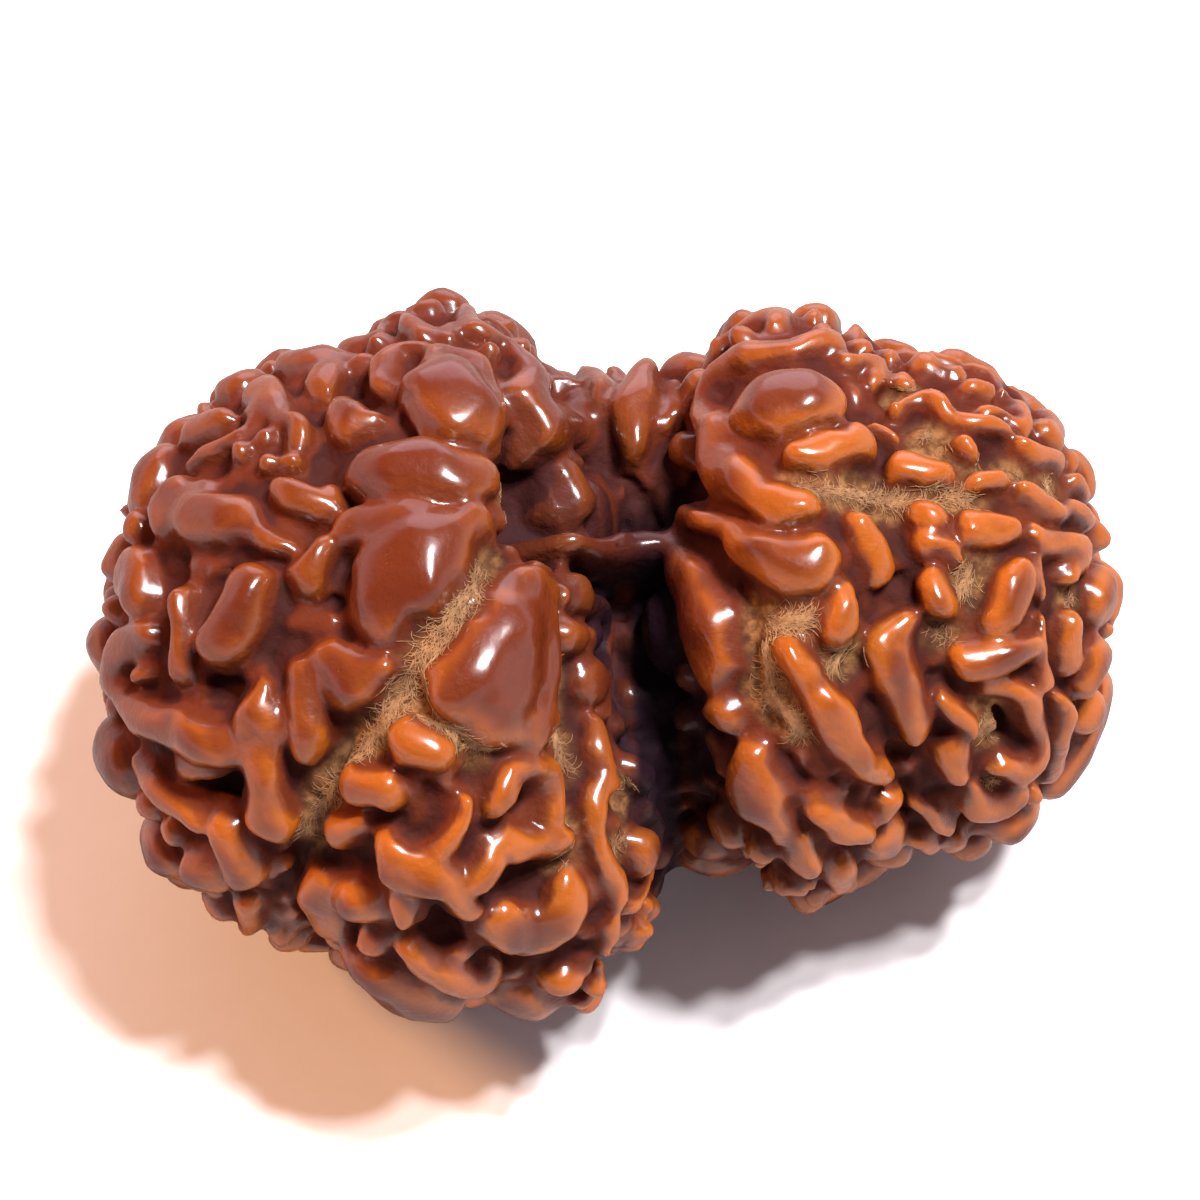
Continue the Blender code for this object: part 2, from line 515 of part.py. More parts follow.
def add_wart(pile, path, share, root=ROOT_DEPTH, sides=12, cap=3):
    """Adds a closed blob that runs along the path, with round ends and its root sunk in the core."""
    lengths = [0.0]
    for a, b in zip(path, path[1:]):
        lengths.append(lengths[-1] + (b.point - a.point).length)
    spans = 0 if len(path) == 1 else max(1, round(lengths[-1] / 0.35))
    rings = 2 * cap + spans
    ball, faces = pile.ball(sides, rings)
    points = []
    for spot in ball:
        ring = round(math.acos(max(-1.0, min(1.0, spot.z))) / math.pi * rings)
        around = math.atan2(spot.y, spot.x)
        if ring <= cap:
            turn = ring / cap * math.pi / 2
            reach, size, along = -math.cos(turn), math.sin(turn), 0.0
        elif ring >= rings - cap:
            turn = (rings - ring) / cap * math.pi / 2
            reach, size, along = math.cos(turn), math.sin(turn), lengths[-1]
        else:
            reach, size, along = 0.0, 1.0, (ring - cap) / spans * lengths[-1]
        seat, forward = on_path(path, lengths, along)
        across = seat.up.cross(forward)
        wide = seat.width * SLIMNESS
        high = rise(seat.width) * share
        belly = BELLY * high
        side, height = full(math.cos(around)), full(math.sin(around))
        tall = high - belly if height > 0 else belly + root + seat.sunk
        sideways = forward * (reach * wide) + across * (side * size * wide)
        place = seat.point + sideways + seat.up * (belly + height * size * tall)
        points.append(place + wandering(place / KNURL_SIZE) * KNURL)
    pile.add(points, faces)


def on_path(path, lengths, along):
    """The seat and the way forward at a length along the path."""
    if len(path) == 1:
        return path[0], path[0].up.orthogonal().normalized()
    k = 0
    while k < len(path) - 2 and lengths[k + 1] <= along:
        k += 1
    a, b = path[k], path[k + 1]
    t = (along - lengths[k]) / max(lengths[k + 1] - lengths[k], 1e-6)
    seat = a.blend(b, t)
    before, after = path[max(k - 1, 0)], path[min(k + 2, len(path) - 1)]
    forward = after.point - before.point
    return seat, (forward - seat.up * forward.dot(seat.up)).normalized()


def meridian(ground, middle, foot, start):
    """Points of a groove that runs over the core from a plan point down to the lobe's foot."""
    middle = Vector(middle)
    first = (ground.seen(*start, 0.3).point - middle).normalized()
    last = (Vector(foot) - middle).normalized()
    line = []
    for k in range(61):
        way = first.slerp(last, k / 60)
        hit = ground.floor.ray_cast(middle + way * 40.0, -way)[0]
        if hit is not None:
            line.append(hit)
    return line


def carve(mesh, ground, grooves):
    """Presses the hollows and the grooves into the core's mesh."""
    spots = [(ground.seen(e, n, 0.0).point, reach, depth) for e, n, reach, depth in HOLLOWS]
    spots += [(p, 0.8, 0.45) for line in grooves for p in line[::2]]
    sunk = {}
    for middle, reach, depth in spots:
        for i, p in enumerate(ground.points):
            away = (p - middle).length
            if away < reach:
                sunk[i] = max(sunk.get(i, 0.0), depth * (1.0 - (away / reach) ** 2) ** 2)
    for i, depth in sunk.items():
        mesh.vertices[i].co -= ground.ups[i] * depth
        ground.depths[i] = depth


def hidden_paths(ground, paths, grooves):
    """The warts of the side away from the eye: drawn at random, clear of each other and of the grooves."""
    draw = random.Random(SEED)
    places = [s.point[:] for path in paths for s in path]
    widths = [s.width for path in paths for s in path]
    for line in grooves:
        places += [p[:] for p in line]
        widths += [MERIDIAN_GAP - DRAW_GAP] * len(line)
    for east, north, reach, _ in HOLLOWS:
        places.append(ground.seen(east, north, 0.0).point[:])
        widths.append(reach * 0.6)
    places = np.array(places)
    widths = np.array(widths)
    found = []

    def clear(seat):
        away = np.linalg.norm(places - np.array(seat.point[:]), axis=1)
        return bool(np.all(away > widths + seat.width + DRAW_GAP))

    for size, most, tries in DRAW:
        for _ in range(tries):
            face = draw.randrange(len(ground.faces))
            width = size * draw.uniform(0.85, 1.1)
            seat = ground.seat(ground.points[ground.faces[face][0]], face, width)
            steps = draw.randint(1, most)
            lean = draw.gauss(0.0, 0.6)
            bend = draw.gauss(0.0, 0.3)
            if not ground.hidden(seat) or not clear(seat):
                continue
            fall = Vector((0.0, 0.0, -1.0)) - seat.up * -seat.up.z
            fall = seat.up.orthogonal() if fall.length < 0.2 else fall
            way = Matrix.Rotation(lean, 3, seat.up) @ fall.normalized()
            path = [seat]
            for _ in range(steps):
                way = Matrix.Rotation(bend, 3, path[-1].up) @ way
                step = ground.near(path[-1].point + way * width * 0.9, width * draw.uniform(0.85, 1.15))
                if not ground.hidden(step) or not clear(step):
                    break
                way = (way - step.up * way.dot(step.up)).normalized()
                path.append(step)
            found.append(path)
            places = np.vstack([places, np.array([s.point[:] for s in path])])
            widths = np.append(widths, [s.width for s in path])
    return found


def outer_island(mesh):
    """Drops every loose bit of the mesh but the largest."""
    left = set(mesh.verts)
    islands = []
    while left:
        island = {left.pop()}
        edge = list(island)
        while edge:
            vert = edge.pop()
            for other in (e.other_vert(vert) for e in vert.link_edges):
                if other in left:
                    left.discard(other)
                    island.add(other)
                    edge.append(other)
        islands.append(island)
    islands.sort(key=len)
    drop = [v for island in islands[:-1] for v in island]
    bmesh.ops.delete(mesh, geom=drop, context="VERTS")


def seed_mesh():
    """Core, warts and fibre mats fused to one closed skin."""
    core = core_mesh()
    ground = Ground(core)
    grooves = [meridian(ground, middle, foot, start) for middle, foot, starts in MERIDIANS for start in starts]
    carve(core, ground, grooves)
    tall = [plan_path(ground, wart) for wart in WARTS]
    low = [plan_path(ground, wart) for wart in LOW_WARTS]
    bridges = [bridge_path(ground, *bridge) for bridge in BRIDGES]
    bands = [plan_path(ground, band) for band in BANDS]
    rests = [[ground.near(Vector((x, y, -4.0)), width)] for x, y, width, _ in RESTS]
    hidden = hidden_paths(ground, tall + low + bands + rests + bridges, grooves)

    pile = Pile()
    pile.add([v.co.copy() for v in core.vertices], [tuple(p.vertices) for p in core.polygons])
    for path in tall:
        add_wart(pile, path, 1.0)
    for path, (_, _, _, share) in zip(rests, RESTS):
        add_wart(pile, path, share, sides=20, cap=5)
    for path in hidden:
        add_wart(pile, path, CRAMPED_SHARE if ground.cramped(path[0]) else 1.0)
    for path in bridges:
        add_wart(pile, path, 1.0, root=BRIDGE_ROOT)
    for path in low:
        add_wart(pile, path, LOW_SHARE)
    for path in tall + hidden:
        foot = [Seat(s.point, s.up, s.width + FOOT_REACH, s.sunk) for s in path]
        add_wart(pile, foot, FOOT_SHARE)
    for path in bands:
        add_wart(pile, path, BAND_SHARE)
    return fused(pile.mesh("rough seed"), FUSE_GRAIN, FUSE_SOFTENING)


def collection(name):
    """A new collection in the scene."""
    made = bpy.data.collections.new(name)
    bpy.context.scene.collection.children.link(made)
    return made


def cutter():
    """The block whose top face cuts the seed's rest flat at z = 0."""
    mesh = bmesh.new()
    bmesh.ops.create_cube(mesh, size=1.0, matrix=Matrix.Translation((0, 0, -5.0)) @ Matrix.Diagonal((60, 60, 10, 1)))
    data = bpy.data.meshes.new("rest_cut")
    mesh.to_mesh(data)
    mesh.free()
    block = bpy.data.objects.new("rest_cut", data)
    block.hide_render = True
    block.display_type = "WIRE"
    return block


def seed_material():
    """Polished brown stone of the seed."""
    look = bpy.data.materials.new("rudraksha_stone")
    look.use_nodes = True
    shader = look.node_tree.nodes["Principled BSDF"]
    shader.inputs["Base Color"].default_value = (0.33, 0.085, 0.028, 1.0)
    shader.inputs["Roughness"].default_value = 0.32
    shader.inputs["Metallic"].default_value = 0.0
    look.diffuse_color = (0.33, 0.085, 0.028, 1.0)
    return look


def main():
    """Builds the seed."""
    for old in list(bpy.data.objects):
        bpy.data.objects.remove(old)
    rough = seed_mesh()
    mesh = bmesh.new()
    mesh.from_mesh(rough)
    outer_island(mesh)
    bmesh.ops.triangulate(mesh, faces=mesh.faces)
    share = TRIANGLES / len(mesh.faces)
    mesh.to_mesh(rough)
    mesh.free()

    seed = bpy.data.objects.new(NODE, rough)
    collection("Rudraksha seed").objects.link(seed)
    block = cutter()
    collection("Cutters").objects.link(block)
    thin = seed.modifiers.new("thin", "DECIMATE")
    thin.ratio = share
    rest = seed.modifiers.new("rest", "BOOLEAN")
    rest.operation = "DIFFERENCE"
    rest.solver = "EXACT"
    rest.object = block

    final = bmesh.new()
    final.from_mesh(taken(seed))
    outer_island(final)
    bmesh.ops.triangulate(final, faces=final.faces)
    bmesh.ops.transform(
        final,
        matrix=Matrix.Diagonal((MM, MM, MM, 1.0)) @ Matrix.Translation((*SHIFT, 0.0)),
        verts=final.verts,
    )
    seed.modifiers.clear()
    data = bpy.data.meshes.new(NODE)
    final.to_mesh(data)
    final.free()
    data.shade_smooth()
    seed.data = data
    data.materials.append(seed_material())
    block.data.transform(Matrix.Diagonal((MM, MM, MM, 1.0)))


main()
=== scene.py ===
"""A double rudraksha seed on a pale floor: the finely modelled stone, its husk fibre, lights and camera.

The stone is drawn in millimetres on a plan, the seed as it is seen from the camera: east runs along +X
and north up the far side. A wart is a line of plan points, each with the wart's half width there. The
warts of the far side and the underside follow a rule with a seeded draw. The finished pieces are in
metres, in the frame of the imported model, and rest at z = 0.
"""

import logging
import math
import random
from dataclasses import dataclass, field
from enum import Enum

import bmesh
import bpy
import numpy as np
from mathutils import Matrix, Vector, noise
from mathutils.bvhtree import BVHTree
from mathutils.kdtree import KDTree

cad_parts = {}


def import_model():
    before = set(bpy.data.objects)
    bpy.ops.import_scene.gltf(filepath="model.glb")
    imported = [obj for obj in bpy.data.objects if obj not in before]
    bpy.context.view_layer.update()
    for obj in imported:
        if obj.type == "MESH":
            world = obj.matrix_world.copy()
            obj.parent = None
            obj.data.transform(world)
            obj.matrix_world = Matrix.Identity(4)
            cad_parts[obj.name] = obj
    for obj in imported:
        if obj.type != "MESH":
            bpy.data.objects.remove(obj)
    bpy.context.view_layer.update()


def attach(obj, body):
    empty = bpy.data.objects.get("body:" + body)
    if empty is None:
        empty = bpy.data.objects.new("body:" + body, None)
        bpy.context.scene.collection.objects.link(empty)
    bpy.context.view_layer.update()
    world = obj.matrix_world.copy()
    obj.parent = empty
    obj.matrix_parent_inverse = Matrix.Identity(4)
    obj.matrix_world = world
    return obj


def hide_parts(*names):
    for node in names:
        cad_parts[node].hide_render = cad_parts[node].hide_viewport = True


LOG = logging.getLogger("rudraksha")

PlanPoint = tuple[float, float, float]
PlanLine = tuple[PlanPoint, ...]
Colour = tuple[float, float, float]

NODE = "rudraksha_seed"
BODY = "root"
MM = 0.001
WANDER_OFFSETS = ((0.0, 0.0, 0.0), (17.3, 5.1, 9.7), (31.9, 12.4, 23.8))

LEFT_BACK: tuple[PlanLine, ...] = (
    ((-13.9, 5.75, 0.65), (-12.9, 6.2, 0.5)),
    ((-13.2, 7.05, 0.45), (-12.3, 7.7, 0.5)),
    ((-11.7, 7.2, 0.65), (-11.2, 6.5, 0.55), (-10.4, 6.0, 0.4), (-10.3, 5.5, 0.35)),
    ((-11.9, 6.6, 0.45), (-12.0, 6.0, 0.4), (-12.7, 5.5, 0.4), (-13.6, 5.05, 0.35), (-14.3, 4.7, 0.3)),
    ((-11.5, 5.6, 0.4),),
    ((-12.3, 5.1, 0.4),),
    ((-11.3, 4.9, 0.4),),
    ((-10.5, 4.9, 0.4),),
    ((-11.35, 8.15, 0.45),),
    ((-10.6, 8.1, 0.55), (-9.5, 8.15, 0.85), (-8.5, 8.2, 0.5)),
    ((-9.3, 7.8, 0.7), (-9.5, 7.2, 0.5)),
    ((-7.5, 7.4, 0.5), (-7.45, 8.1, 0.6), (-6.9, 8.55, 0.4), (-6.1, 8.5, 0.35)),
    ((-8.7, 6.6, 0.5), (-8.6, 6.0, 0.9), (-8.0, 6.1, 0.55)),
    ((-7.7, 9.8, 0.3), (-7.3, 10.1, 0.3)),
    ((-7.75, 9.0, 0.3), (-7.4, 9.6, 0.35), (-6.8, 10.0, 0.35), (-6.5, 10.0, 0.3)),
    ((-6.7, 9.6, 0.4), (-6.0, 9.3, 0.5)),
    ((-5.2, 9.6, 0.3), (-5.1, 9.2, 0.3)),
    ((-4.5, 9.9, 0.4), (-4.3, 9.3, 0.45), (-3.8, 9.1, 0.4)),
    ((-3.8, 9.9, 0.3), (-3.3, 9.6, 0.3), (-2.7, 9.2, 0.25)),
    ((-3.3, 8.8, 0.4), (-2.7, 8.2, 0.7), (-2.4, 7.5, 0.8), (-2.5, 6.9, 0.7)),
    ((-1.3, 8.2, 0.3), (-0.6, 7.8, 0.4), (-0.1, 7.3, 0.45), (0.1, 6.7, 0.4)),
    ((-1.9, 8.0, 0.3), (-1.3, 7.5, 0.35), (-0.9, 6.9, 0.4), (-0.4, 6.4, 0.35), (0.0, 6.3, 0.25)),
)
LEFT_TOP: tuple[PlanLine, ...] = (
    ((-5.2, 7.4, 1.3), (-4.6, 6.6, 1.2)),
    (
        (-6.2, 7.9, 0.35), (-5.3, 8.5, 0.4), (-4.3, 8.3, 0.45), (-3.7, 7.4, 0.45), (-3.6, 6.3, 0.5),
        (-3.9, 5.6, 0.45),
    ),
    ((-7.9, 4.3, 0.9), (-6.6, 4.5, 1.2), (-5.2, 4.3, 1.1), (-4.2, 4.2, 0.8)),
    ((-4.6, 2.7, 0.8), (-5.8, 1.9, 1.3), (-7.0, 0.7, 1.6), (-7.6, -0.1, 1.2)),
    ((-8.5, 2.3, 0.7), (-7.3, 2.6, 0.8), (-5.9, 2.8, 0.7)),
    ((-9.3, 4.0, 0.25), (-9.2, 3.2, 0.25)),
    ((-2.0, 6.6, 0.6), (-1.9, 5.9, 0.9), (-0.9, 6.0, 0.7)),
    ((-10.9, 3.9, 0.4), (-10.1, 3.55, 0.6), (-9.6, 3.1, 0.45)),
    ((-9.5, 1.7, 0.5), (-10.1, 0.9, 0.6)),
    ((-2.2, 0.4, 0.8), (-2.8, -0.7, 1.2), (-3.4, -1.9, 1.5), (-3.7, -3.0, 1.5)),
    ((-2.6, 0.5, 0.6), (-3.9, -1.0, 0.65), (-5.2, -2.6, 0.65)),
    ((-5.1, -3.1, 0.7), (-3.7, -4.1, 0.8), (-2.1, -4.3, 0.7)),
    ((-1.8, 0.3, 0.6), (-1.9, -2.0, 0.65), (-1.9, -4.1, 0.65)),
    ((-0.7, 0.35, 0.5), (0.0, -0.3, 0.45), (0.2, -1.5, 0.35), (0.2, -3.0, 0.35), (0.25, -3.8, 0.3)),
)
LEFT_SIDE: tuple[PlanLine, ...] = (
    ((-14.6, 3.2, 0.95), (-13.6, 2.9, 0.8), (-12.4, 2.75, 0.75), (-11.4, 2.2, 0.45), (-10.7, 1.85, 0.3)),
    ((-13.6, 3.9, 0.5),),
    ((-16.0, 0.9, 0.9), (-15.8, 0.2, 0.8)),
    ((-16.9, 1.3, 0.5), (-16.4, 1.9, 0.4)),
    ((-14.3, 0.1, 0.5), (-14.4, -1.0, 0.45), (-14.5, -2.2, 0.5)),
    ((-12.0, 0.4, 0.85), (-12.4, -0.7, 0.95), (-13.2, -1.5, 0.7)),
    (
        (-15.5, -1.2, 0.5), (-16.3, -1.6, 0.65), (-16.7, -2.5, 0.55), (-16.3, -3.4, 0.55),
        (-15.6, -4.1, 0.65), (-14.7, -4.4, 0.7), (-13.6, -4.9, 0.7), (-12.7, -5.0, 0.6),
    ),
    ((-15.9, -5.6, 0.4), (-15.3, -6.3, 0.6), (-14.5, -7.0, 0.6), (-13.7, -7.7, 0.5)),
    ((-17.4, -2.8, 0.3), (-17.2, -4.0, 0.35), (-16.8, -5.3, 0.35), (-16.4, -6.2, 0.3)),
)
LEFT_FRONT: tuple[PlanLine, ...] = (
    ((-11.5, -3.0, 0.35), (-11.7, -3.9, 0.75), (-11.8, -5.2, 0.7), (-11.5, -6.5, 0.7), (-11.4, -7.5, 0.9)),
    ((-10.2, -2.3, 0.5), (-10.1, -3.5, 0.55), (-10.0, -4.6, 0.8), (-10.1, -5.4, 0.45)),
    ((-9.3, -1.9, 0.7), (-8.7, -2.7, 1.05), (-7.5, -2.3, 0.45)),
    ((-6.5, -4.9, 0.75), (-5.6, -5.2, 0.65)),
    ((-8.2, -6.3, 0.75), (-7.4, -6.5, 0.7)),
    ((-9.0, -8.1, 0.55), (-8.3, -7.8, 0.4)),
    ((-12.9, -7.9, 0.6), (-12.5, -8.7, 0.75), (-12.2, -9.2, 0.75)),
    ((-12.1, -10.5, 0.5), (-12.0, -11.3, 0.4)),
    ((-13.3, -10.2, 0.3), (-12.9, -11.0, 0.3)),
    ((-9.4, -9.7, 0.7), (-9.4, -10.6, 0.95), (-9.2, -11.1, 0.8)),
    ((-10.4, -12.0, 0.4), (-9.6, -12.4, 0.45), (-8.9, -12.3, 0.4)),
    ((-7.3, -8.6, 0.6), (-6.7, -9.3, 0.95), (-5.6, -9.6, 0.8), (-5.0, -10.1, 0.5), (-4.3, -10.8, 0.4)),
    ((-6.8, -10.4, 0.55), (-6.7, -11.0, 0.4)),
    ((-4.6, -7.0, 0.3), (-4.9, -7.9, 0.35), (-5.4, -8.7, 0.5)),
    (
        (-3.6, -7.2, 0.35), (-3.3, -6.5, 0.5), (-2.8, -5.9, 0.5), (-2.0, -5.7, 0.6), (-1.6, -6.5, 0.55),
        (-1.6, -7.3, 0.5),
    ),
    ((-1.3, -8.2, 0.45), (-2.2, -8.4, 0.55), (-3.2, -8.4, 0.5), (-3.9, -9.1, 0.5), (-4.2, -9.7, 0.5)),
    ((-1.2, -9.8, 0.6), (-1.3, -10.6, 0.85), (-2.3, -11.1, 1.1), (-3.3, -11.0, 0.85)),
    ((-6.8, -12.1, 0.4), (-5.9, -12.8, 0.5), (-4.8, -13.1, 0.55), (-3.9, -13.1, 0.5), (-3.6, -12.6, 0.35)),
    ((-1.4, -13.1, 0.65),),
    ((-4.2, -14.0, 0.3), (-3.0, -13.9, 0.45), (-2.0, -14.1, 0.3)),
)
WAIST: tuple[PlanLine, ...] = (
    ((-0.1, -4.2, 0.4), (0.05, -5.1, 0.42), (0.3, -5.7, 0.35)),
    (
        (0.25, -6.2, 0.5), (-0.1, -6.9, 0.4), (0.0, -8.0, 0.4), (0.4, -9.0, 0.42), (0.75, -9.7, 0.45),
        (0.7, -10.3, 0.42),
    ),
    ((0.5, -11.0, 0.4), (0.6, -11.5, 0.35)),
    ((0.3, -12.1, 0.3),),
    ((1.7, -7.0, 0.25), (2.05, -7.8, 0.3), (2.0, -8.8, 0.3), (1.7, -9.6, 0.35), (1.2, -10.4, 0.35)),
    ((2.8, -9.0, 0.25), (2.4, -9.9, 0.3), (1.7, -10.5, 0.3)),
)
RIGHT_TOP: tuple[PlanLine, ...] = (
    ((1.6, 8.0, 0.5), (1.3, 7.2, 0.65), (1.1, 6.2, 0.65), (1.2, 5.3, 0.5)),
    ((2.7, 7.5, 0.35), (2.4, 6.6, 0.35), (2.2, 6.0, 0.3)),
    ((3.2, 9.3, 0.5), (2.8, 8.8, 0.4), (2.9, 8.2, 0.35)),
    ((3.9, 9.8, 0.35), (4.8, 10.0, 0.6), (5.7, 10.0, 0.6), (6.2, 9.6, 0.4)),
    (
        (7.9, 8.9, 0.5), (6.9, 8.8, 0.5), (5.7, 8.6, 0.55), (4.6, 8.2, 0.6), (3.8, 7.4, 0.55),
        (3.5, 6.6, 0.5), (3.9, 5.6, 0.75), (4.1, 4.7, 0.85), (5.0, 3.8, 0.75), (6.2, 3.2, 0.65),
        (6.9, 3.3, 0.5),
    ),
    ((5.5, 6.6, 1.1), (6.8, 6.9, 1.2), (7.8, 6.9, 0.7)),
    ((6.7, 5.0, 0.5), (7.6, 5.2, 0.6), (8.8, 5.5, 0.75)),
    (
        (2.7, 2.9, 0.35), (3.8, 2.6, 0.4), (4.8, 2.0, 0.55), (5.7, 1.5, 0.85), (6.7, 1.2, 0.95),
        (7.4, 1.3, 0.8),
    ),
    ((2.4, 1.9, 0.55), (2.8, 0.9, 0.8), (3.3, -0.1, 1.1), (3.6, -1.2, 1.15), (3.8, -2.1, 0.95)),
    ((9.0, 2.6, 0.5), (9.3, 1.9, 0.62), (9.6, 1.2, 0.5)),
    ((8.3, 0.3, 0.45), (8.2, -0.6, 0.6), (8.2, -1.1, 0.58)),
    ((10.2, 4.6, 0.55), (11.2, 4.6, 0.58), (11.8, 4.6, 0.4)),
    ((10.9, 3.0, 0.45), (11.5, 2.9, 0.45)),
    ((12.7, 2.5, 0.5), (13.6, 2.4, 0.6), (14.0, 2.5, 0.45)),
    ((11.1, 1.9, 0.5), (11.8, 1.7, 0.5), (12.1, 1.5, 0.35)),
    ((11.3, 0.7, 0.52), (11.7, 0.0, 0.58)),
)
RIGHT_BACK: tuple[PlanLine, ...] = (
    ((8.8, 9.7, 0.45), (8.7, 9.2, 0.4)),
    ((9.5, 9.3, 0.4),),
    ((7.7, 9.3, 0.4),),
    ((8.5, 8.2, 0.5), (9.4, 8.0, 0.55), (9.4, 7.5, 0.4)),
    ((8.9, 8.9, 0.3), (9.8, 8.8, 0.3), (10.4, 8.5, 0.3)),
    ((10.5, 9.1, 0.35),),
    ((10.7, 8.75, 0.3),),
    ((11.4, 8.9, 0.35),),
    ((11.2, 8.1, 0.6),),
    ((10.5, 6.9, 0.3), (11.1, 7.1, 0.35), (11.7, 6.8, 0.35), (12.2, 6.4, 0.3)),
    ((10.2, 6.7, 0.3),),
    ((9.4, 6.1, 0.25), (10.2, 5.5, 0.25)),
    ((11.7, 8.9, 0.3), (12.2, 8.9, 0.35)),
    ((12.1, 7.9, 0.45),),
    ((12.7, 8.1, 0.3), (13.4, 7.9, 0.35), (13.9, 7.6, 0.3)),
    ((12.8, 8.0, 0.25), (13.5, 7.5, 0.3), (13.9, 7.1, 0.3)),
    ((14.4, 7.3, 0.35), (14.5, 6.6, 0.35), (14.6, 5.9, 0.35)),
    ((12.6, 7.4, 0.4), (13.3, 7.2, 0.4)),
    ((13.3, 6.7, 0.3), (13.9, 6.5, 0.3), (14.3, 6.1, 0.3)),
    ((12.4, 6.3, 0.4), (13.2, 6.1, 0.45), (13.9, 5.8, 0.35)),
    ((12.4, 5.4, 0.4), (12.8, 5.1, 0.32)),
    ((14.4, 5.3, 0.4), (15.2, 5.0, 0.45), (15.8, 4.7, 0.35)),
    ((13.0, 4.1, 0.36), (13.7, 4.2, 0.38)),
    ((11.9, 4.5, 0.3),),
    ((14.5, 3.7, 0.35), (15.3, 3.4, 0.45), (16.2, 3.1, 0.4), (16.9, 2.8, 0.35)),
    ((16.3, 4.2, 0.3), (16.7, 3.7, 0.35)),
)
RIGHT_SIDE: tuple[PlanLine, ...] = (
    ((14.9, 2.3, 0.38), (15.9, 2.0, 0.48), (16.6, 1.5, 0.48), (16.1, 0.8, 0.42)),
    ((15.0, 1.4, 0.32), (15.2, 0.4, 0.32)),
    ((14.4, 0.8, 0.58), (14.0, -0.1, 0.78), (13.7, -0.5, 0.6)),
    ((17.6, 0.8, 0.6), (17.6, -0.2, 0.6)),
    ((12.7, -2.0, 0.65), (13.8, -1.9, 0.65), (14.7, -1.7, 0.55)),
    ((15.2, -0.6, 0.3), (15.2, -1.7, 0.32), (15.2, -2.8, 0.4)),
    ((16.2, -1.0, 0.52), (16.2, -2.0, 0.58)),
    ((17.5, -2.1, 0.35),),
    ((17.5, -1.0, 0.4),),
    ((15.9, -3.5, 0.38), (15.9, -4.3, 0.5), (15.8, -5.2, 0.45), (15.6, -6.1, 0.42)),
    (
        (13.4, -3.1, 0.35), (14.3, -3.2, 0.38), (14.9, -4.1, 0.4), (15.0, -5.1, 0.42),
        (14.5, -5.9, 0.55), (13.7, -5.7, 0.4),
    ),
    ((14.3, -6.5, 0.55), (13.6, -7.2, 0.55), (12.9, -7.1, 0.5), (12.8, -6.5, 0.3)),
)
RIGHT_FRONT: tuple[PlanLine, ...] = (
    ((4.1, -3.8, 0.7), (4.2, -4.1, 0.65)),
    ((5.0, -5.3, 0.55), (5.15, -6.2, 0.85), (5.6, -7.0, 0.9), (6.1, -7.8, 0.5), (6.3, -8.3, 0.38)),
    ((6.9, -8.3, 0.35), (7.0, -9.1, 0.62)),
    ((8.4, -9.2, 0.5), (8.4, -9.8, 0.48)),
    ((5.2, -8.4, 0.35), (5.8, -8.9, 0.35)),
    ((5.5, -9.2, 0.3),),
    ((5.8, -10.0, 0.35),),
    ((6.3, -9.9, 0.35), (7.0, -10.0, 0.35)),
    ((7.4, -9.8, 0.3),),
    (
        (6.4, -1.8, 0.45), (7.1, -2.8, 0.6), (7.9, -3.8, 0.65), (8.4, -4.8, 0.62), (9.0, -5.5, 0.55),
        (9.9, -6.0, 0.42),
    ),
    ((7.4, -7.3, 0.35), (8.5, -7.8, 0.55), (9.2, -8.0, 0.4)),
    ((10.6, -0.7, 0.45), (9.9, -1.8, 0.92), (10.2, -3.0, 0.8), (10.7, -4.2, 0.62), (10.8, -4.6, 0.5)),
    ((11.6, -3.5, 0.32), (12.2, -4.05, 0.42), (12.8, -4.5, 0.42)),
    ((12.1, -5.2, 0.58), (12.2, -6.0, 0.6)),
    ((9.9, -7.0, 0.58), (9.8, -7.3, 0.5)),
    ((10.9, -7.1, 0.3), (11.5, -7.5, 0.35), (11.9, -8.0, 0.32)),
    ((10.7, -8.2, 0.42), (11.4, -8.5, 0.4)),
    ((12.4, -8.3, 0.35), (12.0, -9.1, 0.35)),
)
LEFT_WARTS = LEFT_BACK + LEFT_TOP + LEFT_SIDE + LEFT_FRONT
RIGHT_WARTS = RIGHT_TOP + RIGHT_BACK + RIGHT_SIDE + RIGHT_FRONT
WARTS = LEFT_WARTS + WAIST + RIGHT_WARTS

# Warts that lie low between the others.
LOW_WARTS: tuple[PlanLine, ...] = (
    ((-10.5, -0.7, 0.3), (-9.3, -0.7, 0.3)),
    ((-14.6, -5.6, 0.6), (-13.4, -5.7, 0.5)),
    ((1.0, -4.1, 0.45),),
    ((1.6, -5.2, 0.45),),
    ((2.8, -5.7, 0.45),),
    ((2.4, -6.6, 0.3), (3.4, -6.3, 0.3)),
    ((3.6, -7.7, 0.3),),
    ((1.0, -7.6, 0.35),),
    ((3.5, -5.0, 0.4), (3.8, -5.9, 0.5)),
    ((7.3, -5.5, 0.5), (7.9, -6.0, 0.45)),
    ((7.4, -6.9, 0.35), (8.4, -7.0, 0.3)),
    ((11.1, -1.5, 0.4), (11.4, -2.2, 0.4)),
)

# Arms that cross the waist from lobe to lobe.
BRIDGES: tuple[PlanLine, ...] = (((-0.9, 1.9, 0.4), (2.5, 2.35, 0.4)),)

